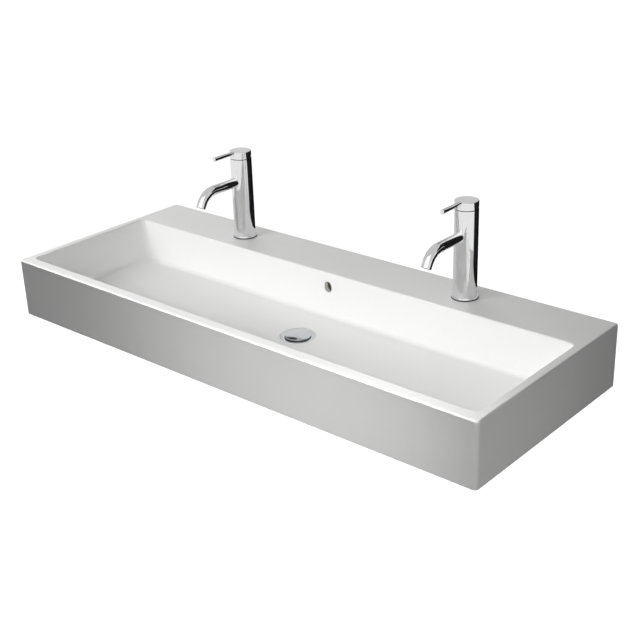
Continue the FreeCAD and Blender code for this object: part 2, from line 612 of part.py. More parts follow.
def spout_bar(radius, spare=0.0):
    """A round bar along the spout's line: straight out, down through the bend, straight to the mouth."""
    start = V(0, SPOUT_SOCKET - INSERT_R + spare, Z_SPOUT)
    bend_start = V(0, -SPOUT_STRAIGHT_LENGTH, Z_SPOUT)
    straight = rod(radius, start, V(0, -1, 0), start.y - bend_start.y)
    disc = Part.Face(Part.Wire(Part.makeCircle(radius, bend_start, V(0, -1, 0))))
    bend = disc.revolve(bend_start - V(0, 0, SPOUT_BEND_R), V(1, 0, 0), SPOUT_BEND_ANGLE)
    return straight.fuse([bend, rod(radius, bend_end(), spout_direction(), SPOUT_END + spare)])


def spout():
    shape = spout_bar(SPOUT_R)
    mouth = bend_end() + spout_direction() * SPOUT_END
    lip = min(shape.Edges, key=lambda edge: (edge.CenterOfMass - mouth).Length)
    return shape.makeFillet(SPOUT_LIP_R, [lip]).cut(spout_bar(SPOUT_R - SPOUT_WALL, CUT))


def aerator():
    """A perforated insert that slips into the spout's mouth."""
    mouth = bend_end() + spout_direction() * (SPOUT_END - AERATOR_RECESS)
    inward = spout_direction() * -1
    radius = SPOUT_R - SPOUT_WALL - RUNNING_GAP
    pitch = (radius - AERATOR_EDGE) / AERATOR_RINGS
    across = V(1, 0, 0)
    upward = inward.cross(across)
    places = [V(0, 0, 0)]
    for step in range(1, AERATOR_RINGS + 1):
        for k in range(6 * step):
            turn = math.pi * k / (3 * step)
            places.append((across * math.cos(turn) + upward * math.sin(turn)) * (step * pitch))
    drills = []
    for place in places:
        drills.append(rod(AERATOR_HOLE / 2, mouth + place - inward * CUT, inward, AERATOR_LENGTH + 2 * CUT))
    return rod(radius, mouth, inward, AERATOR_LENGTH).cut(drills)


# Taps: cartridge
def cartridge_seals():
    inner = PASSAGE_DIAMETER / 2
    outer = inner + SEAL_RING_WIDTH
    return Part.makeCompound([ring(inner, outer, Z_CORE_TOP, Z_CARTRIDGE, x, y) for x, y in PASSAGES])


def passages(z0, z1):
    return [post(PASSAGE_DIAMETER / 2, z0 - CUT, z1 + CUT, x, y) for x, y in PASSAGES]


def cartridge_body():
    shape = post(CARTRIDGE_DIAMETER / 2, Z_CARTRIDGE, Z_SHOULDER)
    shape = shape.fuse(post(CARTRIDGE_NECK_R, Z_SHOULDER, Z_CARTRIDGE_TOP))
    inside = post(CARTRIDGE_INSIDE_R, Z_FIXED_DISC, Z_CARTRIDGE_TOP - CARTRIDGE_ROOF)
    mouth = post(ROTOR_NECK_DIAMETER / 2 + FREE_GAP, Z_FIXED_DISC, Z_CARTRIDGE_TOP + CUT)
    return shape.cut([inside, mouth] + passages(Z_CARTRIDGE, Z_FIXED_DISC))


def fixed_disc():
    z_top = Z_FIXED_DISC + DISC_THICKNESS
    return post(CARTRIDGE_INSIDE_R - SLIP_GAP, Z_FIXED_DISC, z_top).cut(passages(Z_FIXED_DISC, z_top))


def moving_disc():
    """Pushed forward by the stem's tip. With the tap shut it stands half its stroke back."""
    shape = post(MOVING_DISC_DIAMETER / 2, Z_MOVING_DISC, Z_SADDLE, 0, DISC_STROKE / 2)
    shape = shape.fuse(post(SADDLE_DIAMETER / 2, Z_SADDLE, Z_SADDLE_TOP))
    half_x = STEM_WIDTH / 2 + FREE_GAP
    half_y = TIP_DIAMETER / 2 + FREE_GAP
    z_slot = Z_PIVOT - TIP_BELOW_PIVOT - half_y
    return shape.cut(box(-half_x, half_x, -half_y, half_y, z_slot, Z_SADDLE_TOP + CUT))


def pivot_rod(spare=0.0):
    half = ROTOR_R - PIVOT_PIN_INSET
    return rod(PIVOT_PIN_DIAMETER / 2 + spare, V(-half, 0, Z_PIVOT), V(1, 0, 0), 2 * half)


def rotor():
    """Turns in the cartridge with the lever, and carries the stem's pivot pin."""
    z_low = Z_SADDLE_TOP + ROTOR_ABOVE_SADDLE
    shape = post(ROTOR_R, z_low, Z_ROTOR_FLANGE)
    shape = shape.fuse(post(ROTOR_NECK_DIAMETER / 2, Z_ROTOR_FLANGE, Z_CARTRIDGE_TOP))
    swing = math.tan(LIFT) * max(Z_PIVOT - z_low, Z_CARTRIDGE_TOP - Z_PIVOT)
    half_x = STEM_WIDTH / 2 + FREE_GAP
    half_y = STEM_DEPTH / 2 / math.cos(LIFT) + swing + FREE_GAP
    slot = box(-half_x, half_x, -half_y, half_y, z_low - CUT, Z_CARTRIDGE_TOP + CUT)
    return shape.cut([slot, pivot_rod(RUNNING_GAP / 2)])


def stem():
    """A flat bar from the cap down to a round tip that pushes the moving disc."""
    half_x = STEM_WIDTH / 2
    z_tip = Z_PIVOT - TIP_BELOW_PIVOT
    z_neck = z_tip + STEM_NECK_LENGTH
    bar = box(-half_x, half_x, -STEM_DEPTH / 2, STEM_DEPTH / 2, z_neck, TAP_HEIGHT - STEM_BELOW_TOP)
    neck = box(-half_x, half_x, -STEM_NECK_DEPTH / 2, STEM_NECK_DEPTH / 2, z_tip, z_neck)
    tip = rod(TIP_DIAMETER / 2, V(-half_x, 0, z_tip), V(1, 0, 0), STEM_WIDTH)
    return bar.fuse([neck, tip]).cut(pivot_rod(RUNNING_GAP))


# Taps: handle
def dome():
    """A ball-shaped collar about the lever's pivot, which fills the gap under the cap."""
    z_top = Z_COLUMN_TOP + DOME_HEIGHT
    top_r = math.sqrt(DOME_R ** 2 - (z_top - Z_PIVOT) ** 2)
    shape = post(DOME_R, Z_COLUMN_TOP, z_top).common(Part.makeSphere(DOME_R, V(0, 0, Z_PIVOT)))
    return shape.cut(post(top_r - DOME_LAND, Z_COLUMN_TOP - CUT, z_top + CUT))


def cap():
    """The handle's round head, hollow round the dome, with a hub for the stem."""
    rise = Z_CARTRIDGE_TOP + HUB_GAP - Z_PIVOT + HUB_DIAMETER / 2 * math.sin(LIFT)
    z_hub = Z_PIVOT + rise / math.cos(LIFT)
    shape = post(COLUMN_R, Z_CAP_FOOT, TAP_HEIGHT)
    shape = shape.makeFillet(CAP_EDGE_R, edges_at(shape, TAP_HEIGHT))
    shape = shape.cut(Part.makeSphere(CAP_SPHERE_R, V(0, 0, Z_PIVOT)))
    shape = shape.fuse(post(HUB_DIAMETER / 2, z_hub, TAP_HEIGHT - CAP_EDGE_R))
    half_x = STEM_WIDTH / 2 + RUNNING_GAP
    half_y = STEM_DEPTH / 2 + RUNNING_GAP
    z_socket = TAP_HEIGHT - STEM_BELOW_TOP + SLIP_GAP
    socket = box(-half_x, half_x, -half_y, half_y, z_hub - CUT, z_socket)
    shank = rod(LEVER_SHANK_DIAMETER / 2 + RUNNING_GAP, lever_root(), V(0, -1, 0), COLUMN_R)
    screw = rod(CAP_SCREW_DIAMETER / 2 + RUNNING_GAP, V(0, 0, Z_SHANK), V(0, 1, 0), COLUMN_R + CUT)
    return shape.cut([socket, shank, screw, cap_relief()])


def cap_relief():
    """A wedge behind the pivot. Its slope comes down level over the column when the lever is up."""
    z_axis = Z_PIVOT + (Z_COLUMN_TOP + CAP_SEAM / 2 - Z_PIVOT) / math.cos(LIFT)
    reach = COLUMN_R + CUT
    low = Z_CAP_FOOT - CUT
    y_low = (low - z_axis) / math.tan(LIFT)
    corners = [V(-reach, y_low, low), V(-reach, reach, z_axis + reach * math.tan(LIFT)),
               V(-reach, reach, low), V(-reach, y_low, low)]
    return Part.Face(Part.makePolygon(corners)).extrude(V(2 * reach, 0, 0))


def lever_root():
    """Inner end of the lever's shank, in the cap's hub."""
    return V(0, -STEM_DEPTH / 2 - LEVER_TO_STEM, Z_SHANK)


def lever():
    root = lever_root()
    start = V(0, CUT - COLUMN_R, Z_LEVER)
    length = LEVER_REACH + start.y
    bar = Part.makeCone(LEVER_ROOT_DIAMETER / 2, LEVER_TIP_DIAMETER / 2, length, start, V(0, -1, 0))
    tip = min(bar.Edges, key=lambda edge: edge.CenterOfMass.y)
    bar = bar.makeFillet(LEVER_EDGE_R, [tip])
    bar = bar.cut(post(COLUMN_R + RUNNING_GAP, 0, TAP_HEIGHT + LEVER_TIP_DIAMETER))
    return bar.fuse(rod(LEVER_SHANK_DIAMETER / 2, root, V(0, -1, 0), COLUMN_R + CUT + root.y))


def cap_screw():
    y_stem = STEM_DEPTH / 2 + RUNNING_GAP
    return rod(CAP_SCREW_DIAMETER / 2, V(0, y_stem, Z_SHANK), V(0, 1, 0), HUB_DIAMETER / 2 - y_stem)


# Taps: fixing under the deck
def clamp(z0, z1):
    """A horseshoe: the stud goes through its front, and the hoses pass its open back."""
    half = PORT_X + FEED_R + CLAMP_SLOT_MARGIN
    front = PORT_Y - FEED_R - CLAMP_SLOT_MARGIN
    slot = box(-half, half, front, 2 * CLAMP_R, z0 - CUT, z1 + CUT)
    stud_hole = post(STUD_DIAMETER / 2 + SLIP_GAP, z0 - CUT, z1 + CUT, 0, STUD_Y)
    return post(CLAMP_R, z0, z1).cut([slot, stud_hole])


def tap_parts():
    z_gasket = -DECK_THICKNESS - CLAMP_GASKET_THICKNESS
    z_plate = z_gasket - CLAMP_PLATE_THICKNESS
    z_nut = z_plate - STUD_NUT_HEIGHT
    z_stud_top = STUD_IN_FOOT - FOOT_SPIGOT
    stud_nut = hexagon(STUD_NUT_FLATS, z_nut, z_plate, 0, STUD_Y)
    stud_nut = stud_nut.cut(post(STUD_DIAMETER / 2 + RUNNING_GAP, z_nut - CUT, z_plate + CUT, 0, STUD_Y))
    nut_r = CARTRIDGE_NECK_R + SLIP_GAP
    return {
        "base_gasket": ring(RING_BORE_R, BASE_RING_R - BASE_RING_EDGE_R, 0, Z_RING),
        "base_ring": base_ring(),
        "column": column(),
        "foot": foot(),
        "feed_tubes": feed_tubes(),
        "valve_core": valve_core(),
        "spout": spout(),
        "aerator": aerator(),
        "cartridge_seals": cartridge_seals(),
        "cartridge_body": cartridge_body(),
        "fixed_disc": fixed_disc(),
        "moving_disc": moving_disc(),
        "rotor": rotor(),
        "stem_pin": pivot_rod(),
        "stem": stem(),
        "cartridge_nut": ring(nut_r, INSERT_R, Z_SHOULDER, Z_COLUMN_TOP),
        "dome": dome(),
        "cap": cap(),
        "lever": lever(),
        "cap_screw": cap_screw(),
        "stud": post(STUD_DIAMETER / 2, z_nut - STUD_BELOW_NUT, z_stud_top, 0, STUD_Y),
        "clamp_gasket": clamp(z_gasket, -DECK_THICKNESS),
        "clamp_plate": clamp(z_plate, z_gasket),
        "stud_nut": stud_nut,
    }


def main():
    os.makedirs("parts", exist_ok=True)
    save("basin", basin())
    for name, shape in drain_parts().items():
        save(name, shape.translated(V(0, DRAIN_Y, 0)))
    tap = tap_parts()
    for side, x in (("left", -TAP_X), ("right", TAP_X)):
        for name, shape in tap.items():
            save(f"{side}_{name}", shape.translated(V(x, TAP_Y, Z_DECK)))


main()
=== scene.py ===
# %% [markdown]
# A wide vanity basin with two tall single-lever mixers and a push-open drain.
# The CAD model is loaded first and stays where it is. Every new piece is made round it, in metres,
# in the same frame: the origin on the back face, +X to the user's right, +Y to the wall, +Z up.

# %% Frame
import json
import math

import bmesh
import bpy
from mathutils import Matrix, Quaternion, Vector

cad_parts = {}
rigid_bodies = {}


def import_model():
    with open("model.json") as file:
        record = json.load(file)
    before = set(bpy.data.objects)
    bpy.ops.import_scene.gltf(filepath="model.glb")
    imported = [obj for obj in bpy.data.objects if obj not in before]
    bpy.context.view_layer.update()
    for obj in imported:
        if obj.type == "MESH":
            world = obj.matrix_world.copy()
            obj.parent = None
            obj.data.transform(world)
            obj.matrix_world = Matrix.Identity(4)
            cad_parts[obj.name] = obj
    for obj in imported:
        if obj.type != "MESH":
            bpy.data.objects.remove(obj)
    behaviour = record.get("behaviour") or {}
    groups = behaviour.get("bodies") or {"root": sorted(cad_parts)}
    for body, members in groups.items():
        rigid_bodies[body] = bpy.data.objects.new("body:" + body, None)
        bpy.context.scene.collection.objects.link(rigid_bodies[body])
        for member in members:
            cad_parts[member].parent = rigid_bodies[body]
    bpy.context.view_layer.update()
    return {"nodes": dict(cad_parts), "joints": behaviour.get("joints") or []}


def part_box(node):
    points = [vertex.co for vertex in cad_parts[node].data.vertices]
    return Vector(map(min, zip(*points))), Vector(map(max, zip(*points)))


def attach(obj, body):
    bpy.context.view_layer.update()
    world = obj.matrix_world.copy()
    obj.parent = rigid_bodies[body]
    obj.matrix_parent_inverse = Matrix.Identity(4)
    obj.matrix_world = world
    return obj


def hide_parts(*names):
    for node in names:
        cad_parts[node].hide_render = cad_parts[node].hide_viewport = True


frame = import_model()
nodes = frame["nodes"]
joints = {joint["name"]: joint for joint in frame["joints"]}
MM = 0.001
SIDES = ("left", "right")

# %% [markdown]
# Two small helpers serve every finish. Colours are written as sRGB hex, as a colour picker shows them,
# and Blender's sockets take linear light, so one function converts them. The other adds a node, sets it
# and wires it, so that a finish below reads as a list of what is done to the surface.


# %% Helpers for finishes
def linear(hex_colour):
    """An sRGB hex colour as linear RGBA."""
    channels = [int(hex_colour[i:i + 2], 16) / 255 for i in (1, 3, 5)]
    return [c / 12.92 if c <= 0.04045 else ((c + 0.055) / 1.055) ** 2.4 for c in channels] + [1.0]


def add(material, kind, settings=None, inputs=None, links=None):
    """Add a node to a material's tree, set its properties and inputs, and link its inputs."""
    tree = material.node_tree
    node = tree.nodes.new(kind)
    for name, value in (settings or {}).items():
        setattr(node, name, value)
    for name, value in (inputs or {}).items():
        node.inputs[name].default_value = value
    for name, source in (links or {}).items():
        tree.links.new(source, node.inputs[name])
    return node


def finish_named(name, colour, **sockets):
    """A new material with its constant values on the shader's own sockets, and its place on the piece."""
    material = bpy.data.materials.new(name)
    material.use_nodes = True
    shader = material.node_tree.nodes["Principled BSDF"]
    shader.inputs["Base Color"].default_value = linear(colour)
    for socket, value in sockets.items():
        shader.inputs[socket.replace("_", " ")].default_value = value
    place = add(material, "ShaderNodeTexCoord").outputs["Object"]
    return material, shader, place


def lead(material, source, shader, socket):
    """Lead a pattern into one of the shader's sockets."""
    material.node_tree.links.new(source, shader.inputs[socket])


# %% [markdown]
# The basin is vitreous china: clay fired to a glass-like body under a white glaze. The glaze flows as it
# melts, so it lies in long, very low waves and softens every edge. Where the piece stands in the kiln and
# inside its hollows, at the back and underneath, it has no glaze: the bare body there is matt, a little
# warmer and finely grained. The CAD shape is right, so it stays. A box test on the surface's own place
# says where the glaze ends, because painting that by hand would change the CAD mesh.

# %% Glazed china
GLAZE = "#f6f6f5"
GLAZE_ROUGHNESS = 0.3
china, shader, place = finish_named("glazed vitreous china", GLAZE, Roughness=GLAZE_ROUGHNESS)
basin_low, basin_high = [Vector(corner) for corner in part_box("basin")]
GLAZE_WAVE = 90 * MM
BODY_GRAIN = 0.9 * MM
BACK_STRIP = 3 * MM


def within(material, place, low, high):
    """1 inside a box, 0 outside it."""
    low = Vector(low)
    high = Vector(high)
    moved = add(material, "ShaderNodeVectorMath", {"operation": "SUBTRACT"}, {1: (low + high) / 2},
                {0: place})
    scaled = add(material, "ShaderNodeVectorMath", {"operation": "DIVIDE"}, {1: (high - low) / 2},
                 {0: moved.outputs["Vector"]})
    size = add(material, "ShaderNodeVectorMath", {"operation": "ABSOLUTE"},
               links={0: scaled.outputs["Vector"]})
    axes = add(material, "ShaderNodeSeparateXYZ", links={"Vector": size.outputs["Vector"]})
    wider = add(material, "ShaderNodeMath", {"operation": "MAXIMUM"},
                links={0: axes.outputs["X"], 1: axes.outputs["Y"]})
    widest = add(material, "ShaderNodeMath", {"operation": "MAXIMUM"},
                 links={0: wider.outputs["Value"], 1: axes.outputs["Z"]})
    return add(material, "ShaderNodeMath", {"operation": "LESS_THAN"}, {1: 1.0}, {0: widest.outputs["Value"]})


# %% [markdown]
# The bare places are four boxes, taken from the basin's own sizes: a strip along the wall, the foot, the
# hollow under the floor and the hollow under the tap deck.

# %% Bare body at the back and underneath
BARE_BODY = "#e6e0d4"
BARE_ROUGHNESS = 0.85
FOOT_STRIP = 0.75 * MM
GLAZED_TOP = 6 * MM
HOLLOW_INSET = 9 * MM
UNDER_FLOOR = basin_low.z + 19 * MM
DECK_HOLLOW_FRONT = basin_high.y - 118.5 * MM
DECK_HOLLOW_TOP = basin_high.z - 12.5 * MM
inset = Vector((HOLLOW_INSET, HOLLOW_INSET, HOLLOW_INSET))
bare_boxes = [
    ((basin_low.x, basin_high.y - BACK_STRIP, basin_low.z),
     (basin_high.x, basin_high.y + MM, basin_high.z - GLAZED_TOP)),
    ((basin_low.x, basin_low.y, basin_low.z - MM), (basin_high.x, basin_high.y, basin_low.z + FOOT_STRIP)),
    (basin_low + inset, (basin_high.x - HOLLOW_INSET, basin_high.y - HOLLOW_INSET, UNDER_FLOOR)),
    ((basin_low.x + HOLLOW_INSET, DECK_HOLLOW_FRONT, basin_low.z),
     (basin_high.x - HOLLOW_INSET, basin_high.y - HOLLOW_INSET, DECK_HOLLOW_TOP)),
]
bare = None
for low, high in bare_boxes:
    share = within(china, place, low, high).outputs["Value"]
    if bare is not None:
        share = add(china, "ShaderNodeMath", {"operation": "MAXIMUM"},
                    links={0: bare, 1: share}).outputs["Value"]
    bare = share
wave = add(china, "ShaderNodeTexNoise", inputs={"Scale": 1 / GLAZE_WAVE, "Detail": 1.0},
           links={"Vector": place})
grain = add(china, "ShaderNodeTexNoise", inputs={"Scale": 1 / BODY_GRAIN, "Detail": 2.0},
            links={"Vector": place})
colour = add(china, "ShaderNodeMix", {"data_type": "RGBA"},
             {"A": linear(GLAZE), "B": linear(BARE_BODY)}, {"Factor": bare})
gloss = add(china, "ShaderNodeMapRange", links={"Value": bare},
            inputs={"To Min": GLAZE_ROUGHNESS, "To Max": BARE_ROUGHNESS})
relief = add(china, "ShaderNodeMix",
             links={"Factor": bare, "A": wave.outputs["Fac"], "B": grain.outputs["Fac"]})
bump = add(china, "ShaderNodeBump", inputs={"Strength": 0.04, "Distance": 0.3 * MM},
           links={"Height": relief.outputs["Result"]})
lead(china, colour.outputs["Result"], shader, "Base Color")
lead(china, gloss.outputs["Result"], shader, "Roughness")
lead(china, bump.outputs["Normal"], shader, "Normal")
print("china: glaze wave", GLAZE_WAVE, "bare boxes", len(bare_boxes))

# %% [markdown]
# The taps and the drain are brass with a bright chrome plate. Chrome has little colour of its own: it shows
# the room, so most of its look comes from the light further down. Polishing leaves a faint unevenness in
# its gloss, drawn coarser here than on the real plate so that it shows at all.

# %% Chrome plate
chrome, shader, place = finish_named("polished chrome plate", "#eeeeef", Metallic=1.0, Roughness=0.05)
POLISH_MARK = 9 * MM
polish = add(chrome, "ShaderNodeTexNoise", inputs={"Scale": 1 / POLISH_MARK, "Detail": 2.0},
             links={"Vector": place})
sheen = add(chrome, "ShaderNodeMapRange", inputs={"To Min": 0.035, "To Max": 0.065},
            links={"Value": polish.outputs["Fac"]})
lead(chrome, sheen.outputs["Result"], shader, "Roughness")
print("chrome: polish marks of", round(POLISH_MARK / MM, 1), "mm")

# %% [markdown]
# The dome under the cap gets a dark chrome finish, which paints the shade in the seam above the column as a
# dark line.
# It is the same metal, darker and with a softer gloss.

# %% Dark chrome that paints the seam's shade
# The dark colour is painted shade: it stands for the shadow in the seam under the cap.
seam_shade_chrome, shader, place = finish_named("black chrome plate", "#232426", Metallic=1.0, Roughness=0.22)
DEPOSIT = 4 * MM
deposit = add(seam_shade_chrome, "ShaderNodeTexNoise", inputs={"Scale": 1 / DEPOSIT, "Detail": 2.0},
              links={"Vector": place})
satin = add(seam_shade_chrome, "ShaderNodeMapRange", inputs={"To Min": 0.18, "To Max": 0.28},
            links={"Value": deposit.outputs["Fac"]})
lead(seam_shade_chrome, satin.outputs["Result"], shader, "Roughness")
print("seam shade chrome: deposit of", round(DEPOSIT / MM, 1), "mm")

# %% [markdown]
# The drain gets the same chrome, a little greyer and softer in its gloss than on the taps.

# %% Chrome plate in the bowl
# The drain's chrome is a greyer copy of the taps' chrome.
greyer_chrome, shader, place = finish_named("water-worn chrome plate", "#c6c8ca", Metallic=1.0, Roughness=0.1)
LIME_SPOT = 5 * MM
spots = add(greyer_chrome, "ShaderNodeTexNoise", inputs={"Scale": 1 / LIME_SPOT, "Detail": 3.0},
            links={"Vector": place})
wear = add(greyer_chrome, "ShaderNodeMapRange", inputs={"To Min": 0.05, "To Max": 0.15},
           links={"Value": spots.outputs["Fac"]})
lead(greyer_chrome, wear.outputs["Result"], shader, "Roughness")
print("greyer chrome: spots of", round(LIME_SPOT / MM, 1), "mm")

# %% [markdown]
# Inside and under the deck the pieces keep the finish of their making. Brass parts are turned on a lathe,
# and the tool leaves rings along the axis. A real ring is about 0.2 mm, too fine to show, so the rings are
# drawn five times as coarse. All turned pieces stand upright, so bands along Z give the rings of each. At a
# scale of 1 the Wave texture's crests are 2 pi / 20 apart, which sets the scale.

# %% Turned brass
brass, shader, place = finish_named("turned brass", "#c8a45c", Metallic=1.0, Roughness=0.28)
TOOL_RING = 1.0 * MM
WAVE_CREST = 2 * math.pi / 20
HAND_STAIN = 14 * MM
rings = add(brass, "ShaderNodeTexWave", {"bands_direction": "Z", "wave_profile": "SIN"},
            {"Scale": WAVE_CREST / TOOL_RING, "Distortion": 0.4, "Detail": 1.0}, {"Vector": place})
stain = add(brass, "ShaderNodeTexNoise", inputs={"Scale": 1 / HAND_STAIN, "Detail": 3.0},
            links={"Vector": place})
tone = add(brass, "ShaderNodeValToRGB", links={"Fac": stain.outputs["Fac"]})
tone.color_ramp.elements[0].color = linear("#b38d48")
tone.color_ramp.elements[1].color = linear("#d6b672")
tooled = add(brass, "ShaderNodeBump", inputs={"Strength": 0.25, "Distance": 0.05 * MM},
             links={"Height": rings.outputs["Fac"]})
lead(brass, tone.outputs["Color"], shader, "Base Color")
lead(brass, tooled.outputs["Normal"], shader, "Normal")
print("brass: tool rings of", round(TOOL_RING / MM, 1), "mm")

# %% [markdown]
# Studs, plates and screws are steel with a zinc plate: pale grey with a bluish cast, in soft patches where
# the bath left more or less. Springs and pins are drawn stainless steel, cleaner and brighter.

# %% Zinc-plated and stainless steel
zinc, shader, place = finish_named("zinc-plated steel", "#aeb3b8", Metallic=1.0, Roughness=0.36)
BATH_PATCH = 6 * MM
patches = add(zinc, "ShaderNodeTexNoise", inputs={"Scale": 1 / BATH_PATCH, "Detail": 4.0},
              links={"Vector": place})
dull = add(zinc, "ShaderNodeMapRange", inputs={"To Min": 0.26, "To Max": 0.46},
           links={"Value": patches.outputs["Fac"]})
tone = add(zinc, "ShaderNodeValToRGB", links={"Fac": patches.outputs["Fac"]})
tone.color_ramp.elements[0].color = linear("#9ba1a8")
tone.color_ramp.elements[1].color = linear("#c2c6c9")
lead(zinc, dull.outputs["Result"], shader, "Roughness")
lead(zinc, tone.outputs["Color"], shader, "Base Color")

stainless, shader, place = finish_named("drawn stainless steel", "#c3c5c7", Metallic=1.0, Roughness=0.22)
DIE_LINE = 0.6 * MM
lines = add(stainless, "ShaderNodeTexNoise", inputs={"Scale": 1 / DIE_LINE, "Detail": 2.0},
            links={"Vector": place})
drawn = add(stainless, "ShaderNodeMapRange", inputs={"To Min": 0.16, "To Max": 0.30},
            links={"Value": lines.outputs["Fac"]})
lead(stainless, drawn.outputs["Result"], shader, "Roughness")
print("metals:", chrome.name, brass.name, zinc.name, stainless.name)

# %% [markdown]
# Gaskets are moulded EPDM rubber, nearly black, with the fine grain of the mould. The cartridge housing is
# white acetal and the moving carriers grey glass-filled nylon, both moulded in spark-eroded tools whose
# grain stays on the surface. The valve discs are sintered alumina, lapped flat, ivory and faintly speckled.


# %% Moulded and sintered pieces
def grained(name, dark, light, grain, depth, **sockets):
    """A finish with a fine all-over grain, in its colour and in its relief."""
    material, shader, place = finish_named(name, light, **sockets)
    speck = add(material, "ShaderNodeTexNoise", inputs={"Scale": 1 / grain, "Detail": 2.0},
                links={"Vector": place})
    tone = add(material, "ShaderNodeValToRGB", links={"Fac": speck.outputs["Fac"]})
    tone.color_ramp.elements[0].color = linear(dark)
    tone.color_ramp.elements[1].color = linear(light)
    relief = add(material, "ShaderNodeBump", inputs={"Strength": 0.3, "Distance": depth},
                 links={"Height": speck.outputs["Fac"]})
    lead(material, tone.outputs["Color"], shader, "Base Color")
    lead(material, relief.outputs["Normal"], shader, "Normal")
    print("grained finish:", name)
    return material


rubber = grained("moulded EPDM rubber", "#17181a", "#2a2b2d", 0.8 * MM, 0.06 * MM, Roughness=0.72)
acetal = grained("white moulded acetal", "#e2e1dc", "#f0efea", 1.2 * MM, 0.03 * MM, Roughness=0.34)
nylon = grained("grey glass-filled nylon", "#54585d", "#6b6f74", 0.9 * MM, 0.05 * MM, Roughness=0.55)
alumina = grained("lapped alumina", "#e6e1d6", "#f4f1e9", 0.7 * MM, 0.01 * MM, Roughness=0.22)

# %% [markdown]
# Every CAD node that stays gets the finish of its real material, except the dome, whose dark chrome is
# painted shade.
# The tap's nodes repeat on both sides.

# %% Finishes of the CAD pieces
tap_finishes = {
    chrome: ("column",),
    # The dome's dark chrome is painted shade for the seam under the cap.
    seam_shade_chrome: ("dome",),
    brass: ("foot", "feed_tubes", "valve_core", "stem", "cartridge_nut"),
    zinc: ("cap_screw",),
    stainless: ("stem_pin",),
    rubber: ("cartridge_seals", "clamp_gasket"),
    acetal: ("cartridge_body",),
    nylon: ("rotor", "aerator"),
    alumina: ("fixed_disc", "moving_disc"),
}
drain_finishes = {
    rubber: ("drain_top_gasket", "drain_lower_gasket"),
    acetal: ("drain_washer",),
    nylon: ("click_cartridge",),
    stainless: ("click_spring",),
    brass: ("plug_stem",),
    china: ("basin",),
}


def give_finish(piece, finish):
    """Let a piece have this finish and no other."""
    piece.data.materials.clear()
    piece.data.materials.append(finish)


for finish, names in tap_finishes.items():
    for side in SIDES:
        for name in names:
            give_finish(nodes[f"{side}_{name}"], finish)
for finish, names in drain_finishes.items():
    for name in names:
        give_finish(nodes[name], finish)
print("finishes:", len(set(tap_finishes) | set(drain_finishes)))

# %% [markdown]
# The pieces that the hand and the eye meet are modelled here, in edit mode, each from one primitive. Taps are
# lathe work, so most of them start as half a section that is traced point by point, gets its corners rounded
# and is spun about its axis. A cylinder with insets would also do, but the traced section reads like the
# turner's drawing. Edges are picked in code, by their place.

# %% Helpers for modelling
SAME_PLACE = 0.001 * MM
NEAR_PLACE = 0.01 * MM
TURN_STEPS = 96
CORNER_STEPS = 5
SMOOTH_ANGLE = math.radians(32)


def pick(kind, test):
    """In edit mode, select only the verts, edges or faces that pass a test."""
    bpy.ops.mesh.select_mode(type=kind[:-1].upper())
    bpy.ops.mesh.select_all(action="DESELECT")
    mesh = bmesh.from_edit_mesh(bpy.context.object.data)
    for item in getattr(mesh, kind):
        if test(item):
            item.select_set(True)
    mesh.select_flush_mode()
    bmesh.update_edit_mesh(bpy.context.object.data)


def make_active(piece):
    """Select one piece alone, for the operators that follow."""
    bpy.ops.object.select_all(action="DESELECT")
    piece.select_set(True)
    bpy.context.view_layer.objects.active = piece


def name_piece(name):
    """Name the object that an operator has just added, and its mesh."""
    piece = bpy.context.object
    piece.name = name
    piece.data.name = name
    return piece


def trace(places):
    """In edit mode, shrink a new plane to a point, take it to its place and draw a line from it."""
    bpy.ops.mesh.primitive_plane_add(size=1, location=places[0])
    bpy.ops.mesh.merge(type="CENTER")
    for here, there in zip(places, places[1:]):
        bpy.ops.mesh.extrude_region_move(TRANSFORM_OT_translate={"value": there - here})


def close_up():
    """In edit mode, merge doubles and turn all faces outwards."""
    bpy.ops.mesh.select_mode(type="VERT")
    bpy.ops.mesh.select_all(action="SELECT")
    bpy.ops.mesh.remove_doubles(threshold=SAME_PLACE)
    bpy.ops.mesh.normals_make_consistent(inside=False)


def new_mesh(name):
    """An empty piece at the origin, in edit mode."""
    bpy.ops.object.select_all(action="DESELECT")
    bpy.ops.mesh.primitive_plane_add(size=1)
    piece = name_piece(name)
    bpy.ops.object.mode_set(mode="EDIT")
    bpy.ops.mesh.select_mode(type="VERT")
    bpy.ops.mesh.select_all(action="SELECT")
    bpy.ops.mesh.delete(type="VERT")
    return piece


# %% [markdown]
# The lathe. An outline point holds a radius, a place along the axis and the rounding of that corner. A piece
# with a bore closes its outline; a solid piece starts and ends on its axis, where the spun points merge.


# %% Lathe
def turned(name, outline, centre, along=(0, 0, 1)):
    """A piece turned on a lathe, about a centre and along an axis that is square to X."""
    along = Vector(along)
    centre = Vector(centre)
    places = [centre + Vector((radius, 0, 0)) + along * reach for radius, reach, rounding in outline]
    piece = new_mesh(name)
    trace(places)
    if outline[0][0] > 0:
        ends = (places[0], places[-1])
        pick("verts", lambda point: min((point.co - end).length for end in ends) < SAME_PLACE)
        bpy.ops.mesh.edge_face_add()
    for place, (radius, reach, rounding) in zip(places, outline):
        if rounding:
            pick("verts", lambda point: (point.co - place).length < SAME_PLACE)
            bpy.ops.mesh.bevel(offset=rounding, segments=CORNER_STEPS, affect="VERTICES")
    bpy.ops.mesh.select_all(action="SELECT")
    bpy.ops.mesh.spin(steps=TURN_STEPS, angle=2 * math.pi, center=centre, axis=along)
    close_up()
    bpy.ops.object.mode_set(mode="OBJECT")
    return piece


# %% [markdown]
# Holes, slots and joins use the Boolean modifier, applied at once. A finished piece is shaded smooth up to
# an angle, and the Weighted Normal modifier keeps its flat faces flat beside round edges, which shows at
# once in chrome. The right tap's pieces are copies of the left tap's, each with its own mesh.


